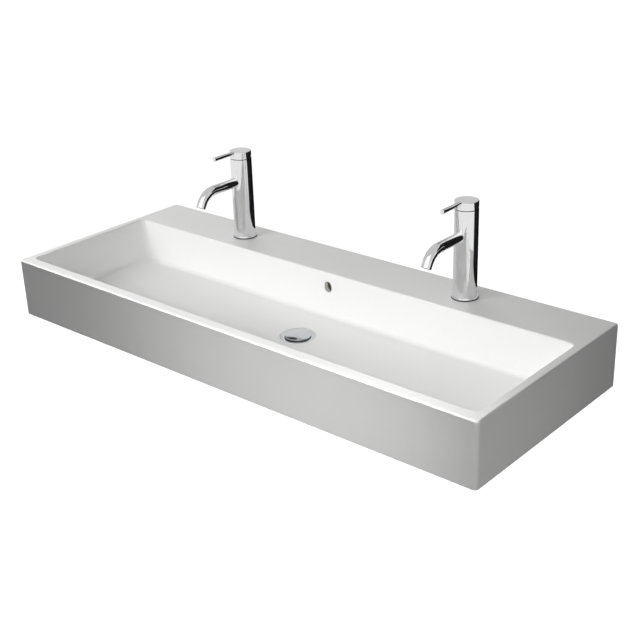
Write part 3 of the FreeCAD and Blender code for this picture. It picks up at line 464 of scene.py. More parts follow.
# %% Joining, smoothing and hanging pieces
def combine(piece, tool, operation):
    """Cut or join a piece with another closed piece, which is used up."""
    make_active(piece)
    bpy.ops.object.modifier_add(type="BOOLEAN")
    change = piece.modifiers[-1]
    change.operation = operation
    change.object = tool
    bpy.ops.object.modifier_apply(modifier=change.name)
    bpy.data.objects.remove(tool)
    bpy.ops.object.mode_set(mode="EDIT")
    close_up()
    bpy.ops.object.mode_set(mode="OBJECT")


def hang(piece, body, finish, node):
    """Give a piece its finish, let it ride on a body, and let it stand for its CAD node."""
    give_finish(piece, finish)
    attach(piece, body)
    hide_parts(node)
    sides = [round(side / MM, 1) for side in piece.dimensions]
    print(piece.name, len(piece.data.polygons), "faces", sides, "mm")


def smooth(piece):
    """Shade a piece smooth, with its sharp edges and flat faces kept."""
    make_active(piece)
    bpy.ops.object.shade_smooth_by_angle(angle=SMOOTH_ANGLE)
    bpy.ops.object.modifier_add(type="WEIGHTED_NORMAL")
    weight = piece.modifiers[-1]
    weight.keep_sharp = True
    bpy.ops.object.modifier_apply(modifier=weight.name)


def axis_of(node):
    """The middle of a node, level with the origin."""
    low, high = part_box(node)
    return Vector(((low[0] + high[0]) / 2, (low[1] + high[1]) / 2, 0))


tap_axis = {side: axis_of(f"{side}_base_ring") for side in SIDES}


def hang_on_both_taps(piece, part, body, finish):
    """Hang a piece that was made on the left tap, and a copy of it on the right tap."""
    smooth(piece)
    bpy.ops.object.duplicate(linked=False)
    twin = name_piece(f"right_{part}_piece")
    twin.location = tap_axis["right"] - tap_axis["left"]
    bpy.ops.object.transform_apply(location=True, rotation=False, scale=False)
    for side, copy in zip(SIDES, (piece, twin)):
        hang(copy, body.replace("SIDE", side), finish, f"{side}_{part}")


# %% [markdown]
# The base ring spreads the tap's foot on the china. It is a low turned ring whose top edge is well rounded,
# with a step underneath that holds a rubber gasket.

# %% Base ring
ring_low, ring_high = [Vector(corner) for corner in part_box("left_base_ring")]
RING_BORE_R = 16.6 * MM
RING_EDGE = 1.1 * MM
SMALL_EDGE = 0.25 * MM
ring_r = (ring_high.y - ring_low.y) / 2
STEP_WIDTH = 2.2 * MM
STEP_HEIGHT = 1.5 * MM
step_z = ring_low.z + STEP_HEIGHT
base_ring = turned("left_base_ring_piece", [
    (RING_BORE_R, ring_low.z, SMALL_EDGE), (ring_r - STEP_WIDTH, ring_low.z, 0),
    (ring_r - STEP_WIDTH, step_z, 0), (ring_r, step_z, SMALL_EDGE), (ring_r, ring_high.z, RING_EDGE),
    (RING_BORE_R, ring_high.z, SMALL_EDGE)], tap_axis["left"])
hang_on_both_taps(base_ring, "base_ring", "root", chrome)

# %% [markdown]
# The gasket keeps water out of the tap hole. Tightening the tap presses it out a little all round, and that
# bead draws the dark line round the foot. It is turned like the ring, with a step that fits the ring's own.

# %% Base gasket
gasket_low, gasket_high = [Vector(corner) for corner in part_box("left_base_gasket")]
BEAD = 0.3 * MM
base_gasket = turned("left_base_gasket_piece", [
    (RING_BORE_R, gasket_low.z, 0), (ring_r + BEAD, gasket_low.z, BEAD), (ring_r + BEAD, step_z, BEAD),
    (ring_r - STEP_WIDTH, step_z, 0), (ring_r - STEP_WIDTH, gasket_high.z, 0),
    (RING_BORE_R, gasket_high.z, 0)], tap_axis["left"])
hang_on_both_taps(base_gasket, "base_gasket", "root", rubber)

# %% [markdown]
# The cap is the round head of the lever. It is hollow, because a ball-shaped dome on the cartridge fills the
# gap under it while it tilts. So its section has a spherical ceiling about the lever's pivot and a hub in
# the middle. At the back a plane is cut away, sloped so that it comes down level when the lever is up.

# %% Cap
cap_low, cap_high = [Vector(corner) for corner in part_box("left_cap")]
pivot = Vector(joints["left_lever_lift"]["pos_m"])
lift = math.radians(joints["left_lever_lift"]["range_deg"][1])
cap_r = (cap_high.y - cap_low.y) / 2
CAP_CEILING_R = 21.1 * MM
CAP_EDGE = 1.3 * MM
CAP_FOOT_EDGE = 0.7 * MM
HUB_R = 8.5 * MM
HUB_ABOVE_PIVOT = 10.4 * MM
CEILING_STEPS = 10
first = math.acos((cap_low.z - pivot.z) / CAP_CEILING_R)
last = math.asin(HUB_R / CAP_CEILING_R)
outline = [(0, cap_high.z, 0), (cap_r, cap_high.z, CAP_EDGE), (cap_r, cap_low.z, CAP_FOOT_EDGE)]
for step in range(CEILING_STEPS + 1):
    tilt = first + (last - first) * step / CEILING_STEPS
    outline.append((CAP_CEILING_R * math.sin(tilt), pivot.z + CAP_CEILING_R * math.cos(tilt), 0))
outline += [(HUB_R, pivot.z + HUB_ABOVE_PIVOT, SMALL_EDGE), (0, pivot.z + HUB_ABOVE_PIVOT, 0)]
cap = turned("left_cap_piece", outline, tap_axis["left"])
print("cap: radius", round(cap_r / MM, 2), "mm, outline points", len(outline))

# %% [markdown]
# Bisect makes the sloped cut and fills it. The hole at the back takes the grub screw that holds the cap.

# %% Cut and screw hole of the cap
SEAM_LEFT = 0.5 * MM
GRUB_HOLE_R = 2.05 * MM
column_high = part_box("left_column")[1]
screw_low, screw_high = [Vector(corner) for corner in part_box("left_cap_screw")]
screw_z = (screw_low.z + screw_high.z) / 2
cut_z = pivot.z + (column_high[2] + SEAM_LEFT - pivot.z) / math.cos(lift)
make_active(cap)
bpy.ops.object.mode_set(mode="EDIT")
bpy.ops.mesh.select_all(action="SELECT")
bpy.ops.mesh.bisect(plane_co=(pivot.x, pivot.y, cut_z), plane_no=(0, -math.sin(lift), math.cos(lift)),
                    threshold=SAME_PLACE, use_fill=True, clear_inner=True)
close_up()
bpy.ops.object.mode_set(mode="OBJECT")
drill = turned("drill", [(0, 0, 0), (GRUB_HOLE_R, 0, 0), (GRUB_HOLE_R, 2 * cap_r, 0), (0, 2 * cap_r, 0)],
               (pivot.x, pivot.y, screw_z), (0, 1, 0))
combine(cap, drill, "DIFFERENCE")
hang_on_both_taps(cap, "cap", "SIDE_handle", chrome)

# %% [markdown]
# The lever is a rod that thickens a little towards its end, so that a finger finds it. It is turned about
# its own axis, which points away from the wall. Its root lies in the edge of the cap, a little above the
# cap's top, so it has a rounded end of its own there instead of a shank.

# %% Lever
ROOT_R = 4.3 * MM
ROOT_SINK = 2.5 * MM
ROOT_EDGE = 1.6 * MM
TIP_EDGE = 0.9 * MM
lever_low, lever_high = [Vector(corner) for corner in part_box("left_lever")]
tip_r = (lever_high.x - lever_low.x) / 2
tip_reach = pivot.y - lever_low.y
root_reach = cap_r - ROOT_SINK
lever = turned("left_lever_piece", [
    (0, root_reach, 0), (ROOT_R, root_reach, ROOT_EDGE), (tip_r, tip_reach, TIP_EDGE), (0, tip_reach, 0)],
    (pivot.x, pivot.y, lever_high.z - tip_r), (0, -1, 0))
hang_on_both_taps(lever, "lever", "SIDE_handle", chrome)

# %% [markdown]
# The spout is one drawn tube: straight out of the column, then bent down. A circle is extruded for the
# straight runs and spun about the bend's centre between them, as a tube bender works.

# %% Spout
spout_low, spout_high = [Vector(corner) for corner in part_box("left_spout")]
SPOUT_STRAIGHT = 90 * MM
BEND_R = 42 * MM
BEND_ANGLE = math.radians(60)
BEND_STEPS = 28
MOUTH_RUN = 10 * MM
SPOUT_WALL = 1.6 * MM
SPOUT_SIDES = 64
LIP_EDGE = 0.5 * MM
LIP_STEPS = 3
spout_r = (spout_high.x - spout_low.x) / 2
spout_z = spout_high.z - spout_r
out = Vector((0, -math.cos(BEND_ANGLE), -math.sin(BEND_ANGLE)))
bpy.ops.object.select_all(action="DESELECT")
bpy.ops.mesh.primitive_circle_add(vertices=SPOUT_SIDES, radius=spout_r, rotation=(math.radians(90), 0, 0),
                                  location=(pivot.x, spout_high.y, spout_z))
spout = name_piece("left_spout_piece")
bpy.ops.object.transform_apply(location=True, rotation=True, scale=False)
bend_start = pivot.y - SPOUT_STRAIGHT
bpy.ops.object.mode_set(mode="EDIT")
bpy.ops.mesh.select_all(action="SELECT")
bpy.ops.mesh.extrude_region_move(TRANSFORM_OT_translate={"value": (0, bend_start - spout_high.y, 0)})
bpy.ops.mesh.spin(steps=BEND_STEPS, angle=BEND_ANGLE, center=(pivot.x, bend_start, spout_z - BEND_R),
                   axis=(-1, 0, 0))
bpy.ops.mesh.extrude_region_move(TRANSFORM_OT_translate={"value": out * MOUTH_RUN})
close_up()
bpy.ops.object.mode_set(mode="OBJECT")
print("spout: radius", round(spout_r / MM, 2), "mm, rings", len(spout.data.vertices) // SPOUT_SIDES)

# %% [markdown]
# So far the tube is a skin without a wall. The Solidify modifier gives it one, inwards, so that the outside
# stays where it is. A small bevel then rounds the outer edge of the mouth, which is picked by its place.

# %% Spout wall and lip
make_active(spout)
bpy.ops.object.modifier_add(type="SOLIDIFY")
wall = spout.modifiers[-1]
wall.thickness = SPOUT_WALL
wall.offset = -1
bpy.ops.object.modifier_apply(modifier=wall.name)
mouth = Vector((pivot.x, bend_start, spout_z - BEND_R)) + out * MOUTH_RUN
mouth += BEND_R * Vector((0, -math.sin(BEND_ANGLE), math.cos(BEND_ANGLE)))


def on_lip(edge):
    """Whether an edge lies on the outer ring of the mouth."""
    middle = (edge.verts[0].co + edge.verts[1].co) / 2 - mouth
    level = abs(middle.dot(out)) < NEAR_PLACE
    outer_length = 2 * spout_r * math.sin(math.pi / SPOUT_SIDES)
    return level and abs(edge.calc_length() - outer_length) < NEAR_PLACE


bpy.ops.object.mode_set(mode="EDIT")
pick("edges", on_lip)
bpy.ops.mesh.bevel(offset=LIP_EDGE, segments=LIP_STEPS)
bpy.ops.object.mode_set(mode="OBJECT")
hang_on_both_taps(spout, "spout", "root", chrome)

# %% [markdown]
# The drain's lid is a low dome with a rounded rim. Pressing it clicks it up and down, so it rides on the
# plug's body. Its dome is part of a very large sphere, so its outline is a row of points on a wide arc.

# %% Plug lid
lid_low, lid_high = [Vector(corner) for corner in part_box("plug_cap")]
lid_r = (lid_high.x - lid_low.x) / 2
LID_CROWN = 1.4 * MM
LID_EDGE = 1.0 * MM
LID_STEPS = 8
LID_RIM = 2.6 * MM
LID_STEP = 1.2 * MM
BOSS_R = 7.05 * MM
dome_r = (lid_r ** 2 + LID_CROWN ** 2) / (2 * LID_CROWN)
edge_z = lid_high.z - LID_CROWN
outline = []
for step in range(LID_STEPS):
    radius = lid_r * step / LID_STEPS
    outline.append((radius, lid_high.z - dome_r + math.sqrt(dome_r ** 2 - radius ** 2), 0))
under_rim = edge_z - LID_RIM
outline += [
    (lid_r, edge_z, LID_EDGE), (lid_r, under_rim, SMALL_EDGE), (BOSS_R, under_rim, 0),
    (BOSS_R, lid_low.z, SMALL_EDGE), (0, lid_low.z, 0)]
drain_axis = axis_of("plug_cap")
lid = turned("plug_cap_piece", outline, drain_axis)
smooth(lid)
hang(lid, "plug", greyer_chrome, "plug_cap")

# %% [markdown]
# Under the rim the lid steps back to a black rubber seal, which shows as a dark line below the lid's bright
# edge. The seal is a plain turned ring, so small edges are all that it needs.

# %% Plug seal
seal_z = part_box("plug_seal")[0][2]
SEAL_BORE_R = 20.5 * MM
seal_r = lid_r - LID_STEP
seal = turned("plug_seal_piece", [
    (SEAL_BORE_R, seal_z, SMALL_EDGE), (seal_r, seal_z, SMALL_EDGE), (seal_r, under_rim, 0),
    (SEAL_BORE_R, under_rim, 0)], drain_axis)
smooth(seal)
hang(seal, "plug", rubber, "plug_seal")

# %% [markdown]
# The drain's tail has a pipe thread of 11 turns to the inch, and each tap is held by a stud with a metric
# thread. Both are one ridge wound up a core. One tooth is traced, the Screw modifier winds it, neighbouring
# turns are merged, and bisect trims both ends flat and closes them. A tube's bore is a second line, wound
# along with the tooth.


# %% Screw threads
SPARE_TURNS = 2


def threaded(name, crest_r, root_r, bore_r, pitch, low, high, centre, steps):
    """An upright threaded rod, or a tube if it has a bore, from height low to high."""
    piece = new_mesh(name)
    start = low - pitch
    # Each point of the tooth has its radius and its share of the pitch.
    tooth = ((root_r, 0), (root_r, 0.12), (crest_r, 0.44), (crest_r, 0.56), (root_r, 0.88), (root_r, 1))
    trace([Vector((radius, 0, start + pitch * share)) for radius, share in tooth])
    if bore_r:
        trace([Vector((bore_r, 0, start + pitch)), Vector((bore_r, 0, start))])
    bpy.ops.object.mode_set(mode="OBJECT")
    bpy.ops.object.modifier_add(type="SCREW")
    winding = piece.modifiers[-1]
    winding.screw_offset = pitch
    winding.iterations = math.ceil((high - low) / pitch) + SPARE_TURNS
    winding.steps = steps
    winding.render_steps = steps
    bpy.ops.object.modifier_apply(modifier=winding.name)
    bpy.ops.object.mode_set(mode="EDIT")
    close_up()
    for height, side in ((low, "clear_inner"), (high, "clear_outer")):
        bpy.ops.mesh.select_all(action="SELECT")
        bpy.ops.mesh.bisect(plane_co=(0, 0, height), plane_no=(0, 0, 1), threshold=SAME_PLACE, use_fill=True,
                            **{side: True})
    close_up()
    bpy.ops.mesh.select_all(action="SELECT")
    bpy.ops.transform.translate(value=(centre.x, centre.y, 0))
    bpy.ops.object.mode_set(mode="OBJECT")
    return piece


# %% [markdown]
# A stud under each tap pulls its clamp plate up against the deck. It is threaded from end to end, as stud
# bar is sold, so the thread alone makes the piece.

# %% Studs
STUD_STEPS = 24
stud_low, stud_high = [Vector(corner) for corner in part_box("left_stud")]
STUD_PITCH = 1.25 * MM
STUD_TOOTH = 0.7 * MM
stud_r = (stud_high.y - stud_low.y) / 2
stud = threaded("left_stud_piece", stud_r, stud_r - STUD_TOOTH, 0, STUD_PITCH, stud_low.z, stud_high.z,
                axis_of("left_stud"), STUD_STEPS)
hang_on_both_taps(stud, "stud", "root", zinc)

# %% [markdown]
# The drain's body is a flanged tube. The flange shows as a ring round the lid. Below it the tube has four
# windows for the overflow's water and a bar that carries the click unit, and further down it is threaded.

# %% Drain body
drain_low, drain_high = [Vector(corner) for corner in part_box("drain_body")]
PIPE_PITCH = 25.4 / 11 * MM
PIPE_STEPS = 64
PIPE_TOOTH = 1.2 * MM
PIPE_R = 20.95 * MM
PIPE_BORE_R = 17.5 * MM
FLANGE_THICKNESS = 2 * MM
FLANGE_EDGE = 0.7 * MM
SEAT_R = 20.5 * MM
SEAT_DEPTH = 3 * MM
THREAD_TOP = drain_high.z - 18.5 * MM
PLAIN_R = PIPE_R - 0.3 * MM
OVERLAP = 1 * MM
flange_r = (drain_high.x - drain_low.x) / 2
under_flange = drain_high.z - FLANGE_THICKNESS
neck = turned("neck", [
    (PIPE_BORE_R, THREAD_TOP - OVERLAP, 0), (PLAIN_R, THREAD_TOP - OVERLAP, 0), (PLAIN_R, under_flange, 0),
    (flange_r, under_flange, SMALL_EDGE), (flange_r, drain_high.z, FLANGE_EDGE),
    (SEAT_R, drain_high.z, SMALL_EDGE), (PIPE_BORE_R, drain_high.z - SEAT_DEPTH, 0)], drain_axis)
drain_body = threaded("drain_body_piece", PIPE_R, PIPE_R - PIPE_TOOTH, PIPE_BORE_R, PIPE_PITCH,
                      drain_low.z, THREAD_TOP, drain_axis, PIPE_STEPS)
combine(drain_body, neck, "UNION")
print("drain body: flange radius", round(flange_r / MM, 2), "mm, thread top", round(THREAD_TOP / MM, 1), "mm")

# %% [markdown]
# Boxes cut the windows and make the bar. Each is a cube primitive, stretched to its size in edit mode.


# %% Windows, bar and hub of the drain
def block(name, low, high):
    """A box between two corners, used to cut or to join."""
    bpy.ops.object.select_all(action="DESELECT")
    bpy.ops.mesh.primitive_cube_add(size=1, location=(Vector(low) + Vector(high)) / 2)
    piece = name_piece(name)
    bpy.ops.object.mode_set(mode="EDIT")
    bpy.ops.transform.resize(value=[b - a for a, b in zip(low, high)])
    bpy.ops.object.mode_set(mode="OBJECT")
    bpy.ops.object.transform_apply(location=True, rotation=False, scale=False)
    return piece


WINDOW_HALF = 7 * MM
WINDOW_TOP = drain_high.z - 9 * MM
WINDOW_FOOT = drain_high.z - 16 * MM
BAR_HALF = 2.5 * MM
BAR_TOP = drain_high.z - 17 * MM
BAR_FOOT = drain_high.z - 24 * MM
HUB_FOOT = drain_high.z - 29 * MM
HUB_BORE_R = 8.5 * MM
HUB_WALL = 2 * MM
reach = PIPE_R + OVERLAP
for half_x, half_y in ((WINDOW_HALF, reach), (reach, WINDOW_HALF)):
    window = block("window", (-half_x, drain_axis.y - half_y, WINDOW_FOOT),
                   (half_x, drain_axis.y + half_y, WINDOW_TOP))
    combine(drain_body, window, "DIFFERENCE")
bar_reach = PIPE_BORE_R + OVERLAP
for side in (-1, 1):
    ends = sorted((side * (HUB_BORE_R + OVERLAP), side * bar_reach))
    bar = block("bar", (ends[0], drain_axis.y - BAR_HALF, BAR_FOOT),
                (ends[1], drain_axis.y + BAR_HALF, BAR_TOP))
    combine(drain_body, bar, "UNION")
hub = turned("hub", [(HUB_BORE_R, HUB_FOOT, 0), (HUB_BORE_R + HUB_WALL, HUB_FOOT, SMALL_EDGE),
                     (HUB_BORE_R + HUB_WALL, BAR_TOP, SMALL_EDGE), (HUB_BORE_R, BAR_TOP, 0)], drain_axis)
combine(drain_body, hub, "UNION")
smooth(drain_body)
hang(drain_body, "root", greyer_chrome, "drain_body")

# %% [markdown]
# Nuts are cut from hexagon bar and chamfered on the lathe, which leaves curved shoulders on the flats. The
# same two steps are done here: a six-sided cylinder, then its common part with a turned double cone, then
# the bore.


# %% Nuts
HEX_HALF = math.radians(30)
NUT_FACE = 0.97


def hex_nut(name, node, bore_r):
    """A chamfered nut in its node's box. Its corners point along X."""
    low, high = [Vector(corner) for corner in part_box(node)]
    centre = axis_of(node)
    flat_r = (high.y - low.y) / 2
    corner_r = flat_r / math.cos(HEX_HALF)
    face_r = flat_r * NUT_FACE
    slope = (corner_r - face_r) * math.tan(HEX_HALF)
    bpy.ops.object.select_all(action="DESELECT")
    bpy.ops.mesh.primitive_cylinder_add(
        vertices=6, radius=corner_r, depth=high.z - low.z, rotation=(0, 0, HEX_HALF),
        location=(centre.x, centre.y, (low.z + high.z) / 2))
    nut = name_piece(name)
    bpy.ops.object.transform_apply(location=True, rotation=True, scale=False)
    shoulders = turned("shoulders", [
        (0, low.z, 0), (face_r, low.z, 0), (corner_r, low.z + slope, 0), (corner_r, high.z - slope, 0),
        (face_r, high.z, 0), (0, high.z, 0)], centre)
    combine(nut, shoulders, "INTERSECT")
    sink = SMALL_EDGE * 2
    bore = turned("bore", [
        (0, low.z - sink, 0), (bore_r + 2 * sink, low.z - sink, 0), (bore_r, low.z + sink, 0),
        (bore_r, high.z - sink, 0), (bore_r + 2 * sink, high.z + sink, 0), (0, high.z + sink, 0)], centre)
    combine(nut, bore, "DIFFERENCE")
    return nut


NUT_GAP = 0.1 * MM
drain_nut = hex_nut("drain_nut_piece", "drain_nut", PIPE_R + NUT_GAP)
smooth(drain_nut)
hang(drain_nut, "root", brass, "drain_nut")
stud_nut = hex_nut("left_stud_nut_piece", "left_stud_nut", stud_r + NUT_GAP)
hang_on_both_taps(stud_nut, "stud_nut", "root", brass)

# %% [markdown]
# The clamp plate is stamped from steel sheet in the form of a horseshoe: the stud goes through its front and
# the back is open, so that it can be slipped past the inlets. Stamping rounds the edges, so a Bevel modifier
# runs round them all.

# %% Clamp plates
plate_low, plate_high = [Vector(corner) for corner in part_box("left_clamp_plate")]
SLOT_HALF = 14.8 * MM
SLOT_FRONT = tap_axis["left"].y - 2.3 * MM
STAMPED_EDGE = 0.4 * MM
STAMPED_STEPS = 2
STAMPED_CORNER = math.radians(50)
plate_r = (plate_high.x - plate_low.x) / 2
stud_hole_r = stud_r + NUT_GAP
below = plate_low.z - OVERLAP
above = plate_high.z + OVERLAP
x = tap_axis["left"].x
plate = turned("left_clamp_plate_piece", [
    (0, plate_low.z, 0), (plate_r, plate_low.z, 0), (plate_r, plate_high.z, 0), (0, plate_high.z, 0)],
    tap_axis["left"])
slot = block("slot", (x - SLOT_HALF, SLOT_FRONT, below), (x + SLOT_HALF, 0, above))
combine(plate, slot, "DIFFERENCE")
hole = turned("hole", [(0, below, 0), (stud_hole_r, below, 0), (stud_hole_r, above, 0), (0, above, 0)],
              axis_of("left_stud"))
combine(plate, hole, "DIFFERENCE")
make_active(plate)
bpy.ops.object.modifier_add(type="BEVEL")
stamped = plate.modifiers[-1]
stamped.width = STAMPED_EDGE
stamped.segments = STAMPED_STEPS
stamped.limit_method = "ANGLE"
stamped.angle_limit = STAMPED_CORNER
bpy.ops.object.modifier_apply(modifier=stamped.name)
hang_on_both_taps(plate, "clamp_plate", "root", zinc)

# %% [markdown]
# The studio: a pale floor well below, because such a basin hangs on a wall, and white all round. The floor
# looks white to the camera, while it lights the basin only a little.

# %% Floor
FLOOR_Z = -0.85
FLOOR_SIZE = 40
FLOOR_GLOW = 0.98
bpy.ops.object.select_all(action="DESELECT")
bpy.ops.mesh.primitive_plane_add(size=FLOOR_SIZE, location=(0, 0, FLOOR_Z))
floor = bpy.context.object
floor.name = "studio_floor"
floor.visible_glossy = False
pale, shader, place = finish_named("pale studio floor", "#c8c8c8", Roughness=1.0)
shader.inputs["Emission Color"].default_value = (1, 1, 1, 1)
ray = add(pale, "ShaderNodeLightPath")
glow = add(pale, "ShaderNodeMath", {"operation": "MULTIPLY"}, {1: FLOOR_GLOW},
           {0: ray.outputs["Is Camera Ray"]})
lead(pale, glow.outputs["Value"], shader, "Emission Strength")
floor.data.materials.append(pale)
print("floor at", FLOOR_Z, "m")

# %% [markdown]
# The room, as chrome sees it, is white near the floor and a little darker higher up, which parts the tops of
# the caps from the wall behind. Only mirror rays see this room; the camera itself always sees white.

# %% Room in the mirror
MIRROR_LOW = 0.9
MIRROR_HIGH = 0.62
SKY_START = math.sin(math.radians(2))
SKY_END = math.sin(math.radians(20))
world = bpy.data.worlds.new("studio")
bpy.context.scene.world = world
world.use_nodes = True
way = add(world, "ShaderNodeTexCoord").outputs["Generated"]
height = add(world, "ShaderNodeSeparateXYZ", links={"Vector": way}).outputs["Z"]
sky = add(world, "ShaderNodeMapRange", links={"Value": height}, inputs={
    "From Min": SKY_START, "From Max": SKY_END, "To Min": MIRROR_LOW, "To Max": MIRROR_HIGH})
print("room in the mirror:", MIRROR_LOW, "near the floor,", MIRROR_HIGH, "high up")

# %% [markdown]
# Photographers set black flags and white boards beside bright metal, because chrome in an all-white room
# loses its edges. Here they are patches of the far surroundings. The white one, in front on the left, gives
# each spout's bend its highlight. The grey one lies along the top of each spout. The black one, behind the
# basin on its right, draws the hard line along each column and under each spout. Being far away, they look
# alike from both taps.


# %% Patches of the surroundings
PATCH_EDGE = 1.5


def patch(middle, half_width, low, high):
    """1 in a patch of the surroundings and 0 outside it. Its place is in degrees, from +X and from level."""
    turn = add(world, "ShaderNodeMapping", inputs={"Rotation": (0, 0, -math.radians(middle))},
               links={"Vector": way})
    compass = add(world, "ShaderNodeTexGradient", {"gradient_type": "RADIAL"},
                  links={"Vector": turn.outputs["Vector"]})
    off_middle = add(world, "ShaderNodeMath", {"operation": "SUBTRACT"}, {1: 0.5},
                     {0: compass.outputs["Fac"]})
    aside = add(world, "ShaderNodeMath", {"operation": "ABSOLUTE"}, links={0: off_middle.outputs["Value"]})
    share = add(world, "ShaderNodeMapRange", links={"Value": aside.outputs["Value"]}, inputs={
        "From Min": (half_width + PATCH_EDGE) / 360,
        "From Max": (half_width - PATCH_EDGE) / 360}).outputs["Result"]
    for edge, side in ((low, 1), (high, -1)):
        level = add(world, "ShaderNodeMapRange", links={"Value": height}, inputs={
            "From Min": math.sin(math.radians(edge - side * PATCH_EDGE)),
            "From Max": math.sin(math.radians(edge + side * PATCH_EDGE))})
        share = add(world, "ShaderNodeMath", {"operation": "MULTIPLY"},
                    links={0: share, 1: level.outputs["Result"]}).outputs["Value"]
    return share


PATCHES = {
    "white board": ((290, 45, 15, 60), 1.25),
    "grey card": ((108, 10, 20, 52), 0.25),
    "black flag": ((72, 52, -62, 0), 0.01),
}
mirrored = sky.outputs["Result"]
for place, brightness in PATCHES.values():
    mirrored = add(world, "ShaderNodeMix", inputs={"B": brightness},
                   links={"Factor": patch(*place), "A": mirrored}).outputs["Result"]
print("patches:", ", ".join(PATCHES))

# %% [markdown]
# The kind of ray decides which of these it meets: mirror rays the room with its patches, the camera plain
# white, and the rest a low even light that fills the shadows.

# %% Surroundings
DIFFUSE_LEVEL = 0.06
ray = add(world, "ShaderNodeLightPath")
mirror_ray = add(world, "ShaderNodeMath", {"operation": "MAXIMUM"},
                 links={0: ray.outputs["Is Glossy Ray"], 1: ray.outputs["Is Transmission Ray"]})
unseen = add(world, "ShaderNodeMix", inputs={"A": DIFFUSE_LEVEL},
             links={"Factor": mirror_ray.outputs["Value"], "B": mirrored})
level = add(world, "ShaderNodeMix", inputs={"B": 1.0},
            links={"Factor": ray.outputs["Is Camera Ray"], "A": unseen.outputs["Result"]})
background = world.node_tree.nodes["Background"]
background.inputs["Color"].default_value = (1, 1, 1, 1)
world.node_tree.links.new(level.outputs["Result"], background.inputs["Strength"])
print("world nodes:", len(world.node_tree.nodes))

# %% [markdown]
# Soft boxes light the china. Chrome would show each of them as a hard white bar, so mirror rays pass them by.

# %% Lamps
AIM = Vector((0, -0.25, 0))


def softbox(name, place, width, height, watts):
    """A flat lamp at a place, turned to the basin, which neither the camera nor mirror rays see."""
    lamp = bpy.data.lights.new(name, "AREA")
    lamp.shape = "RECTANGLE"
    lamp.size = width
    lamp.size_y = height
    lamp.energy = watts
    lamp.cycles.use_multiple_importance_sampling = False
    holder = bpy.data.objects.new(name, lamp)
    bpy.context.scene.collection.objects.link(holder)
    holder.location = place
    holder.rotation_mode = "QUATERNION"
    holder.rotation_quaternion = (AIM - Vector(place)).to_track_quat("-Z", "Y")
    holder.visible_camera = False
    holder.visible_glossy = False
    return holder


LAMPS = (
    ("over_bowl", (0.0, -0.25, 2.2), 3.0, 2.0, 9.2),
    ("front_left", (-0.8, -1.8, 0.7), 0.8, 0.6, 17.8),
    ("far_left", (-3.0, -0.3, 1.2), 2.0, 1.5, 16.7),
    ("back_left", (-1.6, 1.2, 1.4), 1.2, 1.0, 16.1),
    ("over_front_rim", (0.4, -0.75, 0.35), 0.6, 0.12, 1.3),
    ("along_front_rim", (0.0, -0.68, 0.2), 1.3, 0.08, 0.8),
    ("below_front", (0.05, -0.85, 0.0), 0.5, 0.08, 0.5),
    ("below_front_right", (0.4, -0.85, 0.0), 0.4, 0.08, 0.6),
    ("beside_right_end", (1.3, -0.55, -0.05), 0.4, 0.1, 1.4),
)
for name, place, width, height, watts in LAMPS:
    softbox(name, place, width, height, watts)
print("lamps:", len(LAMPS), "watts:", round(sum(lamp[-1] for lamp in LAMPS), 1))


# %% [markdown]
# The rim throws a shadow line along the basin's front and right side: the top is bright and the sides fall
# off at once. Two thin boards, level with the rim and just outside it, give that. They stop only the rays
# that test a lamp for shadow, so no other ray meets them. The lamps therefore light through those rays
# alone, with their multiple importance sampling off.


# %% Boards that shade the sides
def board(name, low, high):
    """A flat board, seen by no ray but the lamps' shadows."""
    bpy.ops.object.select_all(action="DESELECT")
    middle = (Vector(low) + Vector(high)) / 2
    bpy.ops.mesh.primitive_plane_add(size=1, location=middle)
    panel = bpy.context.object
    panel.name = name
    panel.scale = (high[0] - low[0], high[1] - low[1], 1)
    panel.visible_camera = False
    panel.visible_diffuse = False
    panel.visible_glossy = False
    panel.visible_transmission = False


BOARD_GAP = 0.2 * MM
BOARD_Z = basin_high.z - 2.5 * MM
BOARD_FAR = 1.6
BOARD_FRONT = -1.3
BOARD_BACK = 0.3
past_front = basin_low.y - BOARD_GAP
past_side = basin_high.x + BOARD_GAP
board("front_board", (-BOARD_FAR, BOARD_FRONT, BOARD_Z), (BOARD_FAR, past_front, BOARD_Z))
board("side_board", (past_side, past_front, BOARD_Z), (BOARD_FAR, BOARD_BACK, BOARD_Z))
print("boards at", round(BOARD_Z, 4), "m")

# %% [markdown]
# Black cards stand close behind each tap and draw the broad black band of its spout. The low card is narrow,
# or the line along the column would grow wide, and it hangs well above the deck, so that the glazed deck
# hardly mirrors it. The others leave a window where the flat top of the cap would mirror them. They reach
# higher on the right, for the spout's bend, and stay low behind the lever, whose upper side is bright. Only
# mirror rays meet the cards.

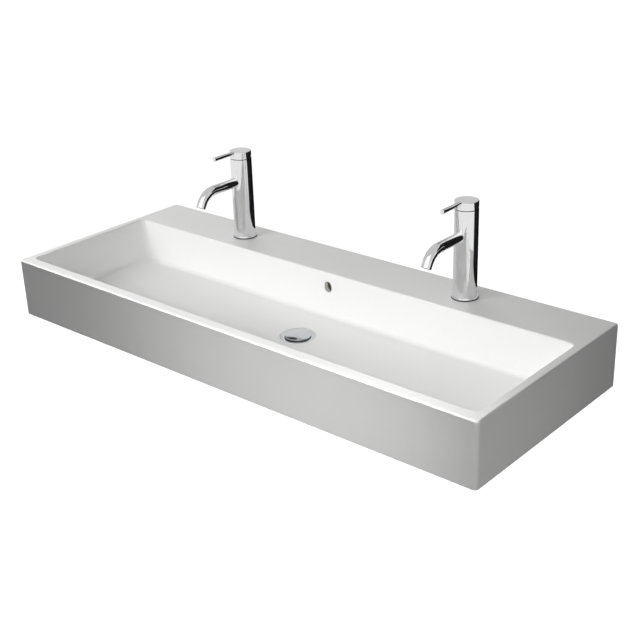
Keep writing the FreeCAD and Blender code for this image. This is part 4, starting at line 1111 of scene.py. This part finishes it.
# %% Cards behind the taps
CARD_BEHIND = 33 * MM
CAP_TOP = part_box("left_cap")[1][2]
CARD_LEFT = -22 * MM
CARD_RIGHT = 250 * MM
NARROW_RIGHT = 110 * MM
NARROW_FOOT = 120 * MM
NARROW_TOP = 205 * MM
WINDOW_RIGHT = 9 * MM
WINDOW_HIGH = CAP_TOP + 30 * MM
BEHIND_LEVER = CAP_TOP + 40 * MM
BEND_LEFT = 55 * MM
BEND_TOP = CAP_TOP + 75 * MM
CARDS = (
    ("low_card", CARD_LEFT, NARROW_RIGHT, NARROW_FOOT, NARROW_TOP),
    ("middle_card", CARD_LEFT, CARD_RIGHT, NARROW_TOP, CAP_TOP),
    ("side_card", WINDOW_RIGHT, CARD_RIGHT, CAP_TOP, WINDOW_HIGH),
    ("high_card", CARD_LEFT, CARD_RIGHT, WINDOW_HIGH, BEHIND_LEVER),
    ("bend_card", BEND_LEFT, CARD_RIGHT, BEHIND_LEVER, BEND_TOP),
)
black, shader, place = finish_named("black card", "#060606", Roughness=1.0)
for side in SIDES:
    for name, left, right, low, high in CARDS:
        bpy.ops.object.select_all(action="DESELECT")
        middle = tap_axis[side] + Vector(((left + right) / 2, CARD_BEHIND, (low + high) / 2))
        bpy.ops.mesh.primitive_plane_add(size=1, location=middle, rotation=(math.radians(90), 0, 0))
        card = bpy.context.object
        card.name = f"{side}_{name}"
        card.scale = (right - left, high - low, 1)
        card.visible_camera = False
        card.visible_diffuse = False
        card.visible_transmission = False
        card.visible_shadow = False
        card.data.materials.append(black)
print("black cards:", len(SIDES) * len(CARDS))

# %% [markdown]
# The camera stands where the photograph's perspective puts it: in front on the right, looking down. The focal
# length was solved in pixels of the picture's width, so the sensor's width turns it into millimetres.

# %% Camera
EYE = Vector((1.4756, -1.8291, 0.9628))
LOOK = Vector((-0.60389, 0.68392, -0.40935))
ROLL = math.radians(-1.986)
FOCAL = 1161.0
IMAGE = 640
SENSOR = 36
camera = bpy.data.objects.new("camera", bpy.data.cameras.new("camera"))
bpy.context.scene.collection.objects.link(camera)
camera.data.sensor_width = SENSOR
camera.data.lens = SENSOR * FOCAL / IMAGE
camera.location = EYE
camera.rotation_mode = "QUATERNION"
camera.rotation_quaternion = LOOK.to_track_quat("-Z", "Y") @ Quaternion((0, 0, 1), ROLL)
bpy.context.scene.camera = camera
bpy.context.scene.view_settings.view_transform = "Standard"
print("camera lens", round(camera.data.lens, 2), "mm")
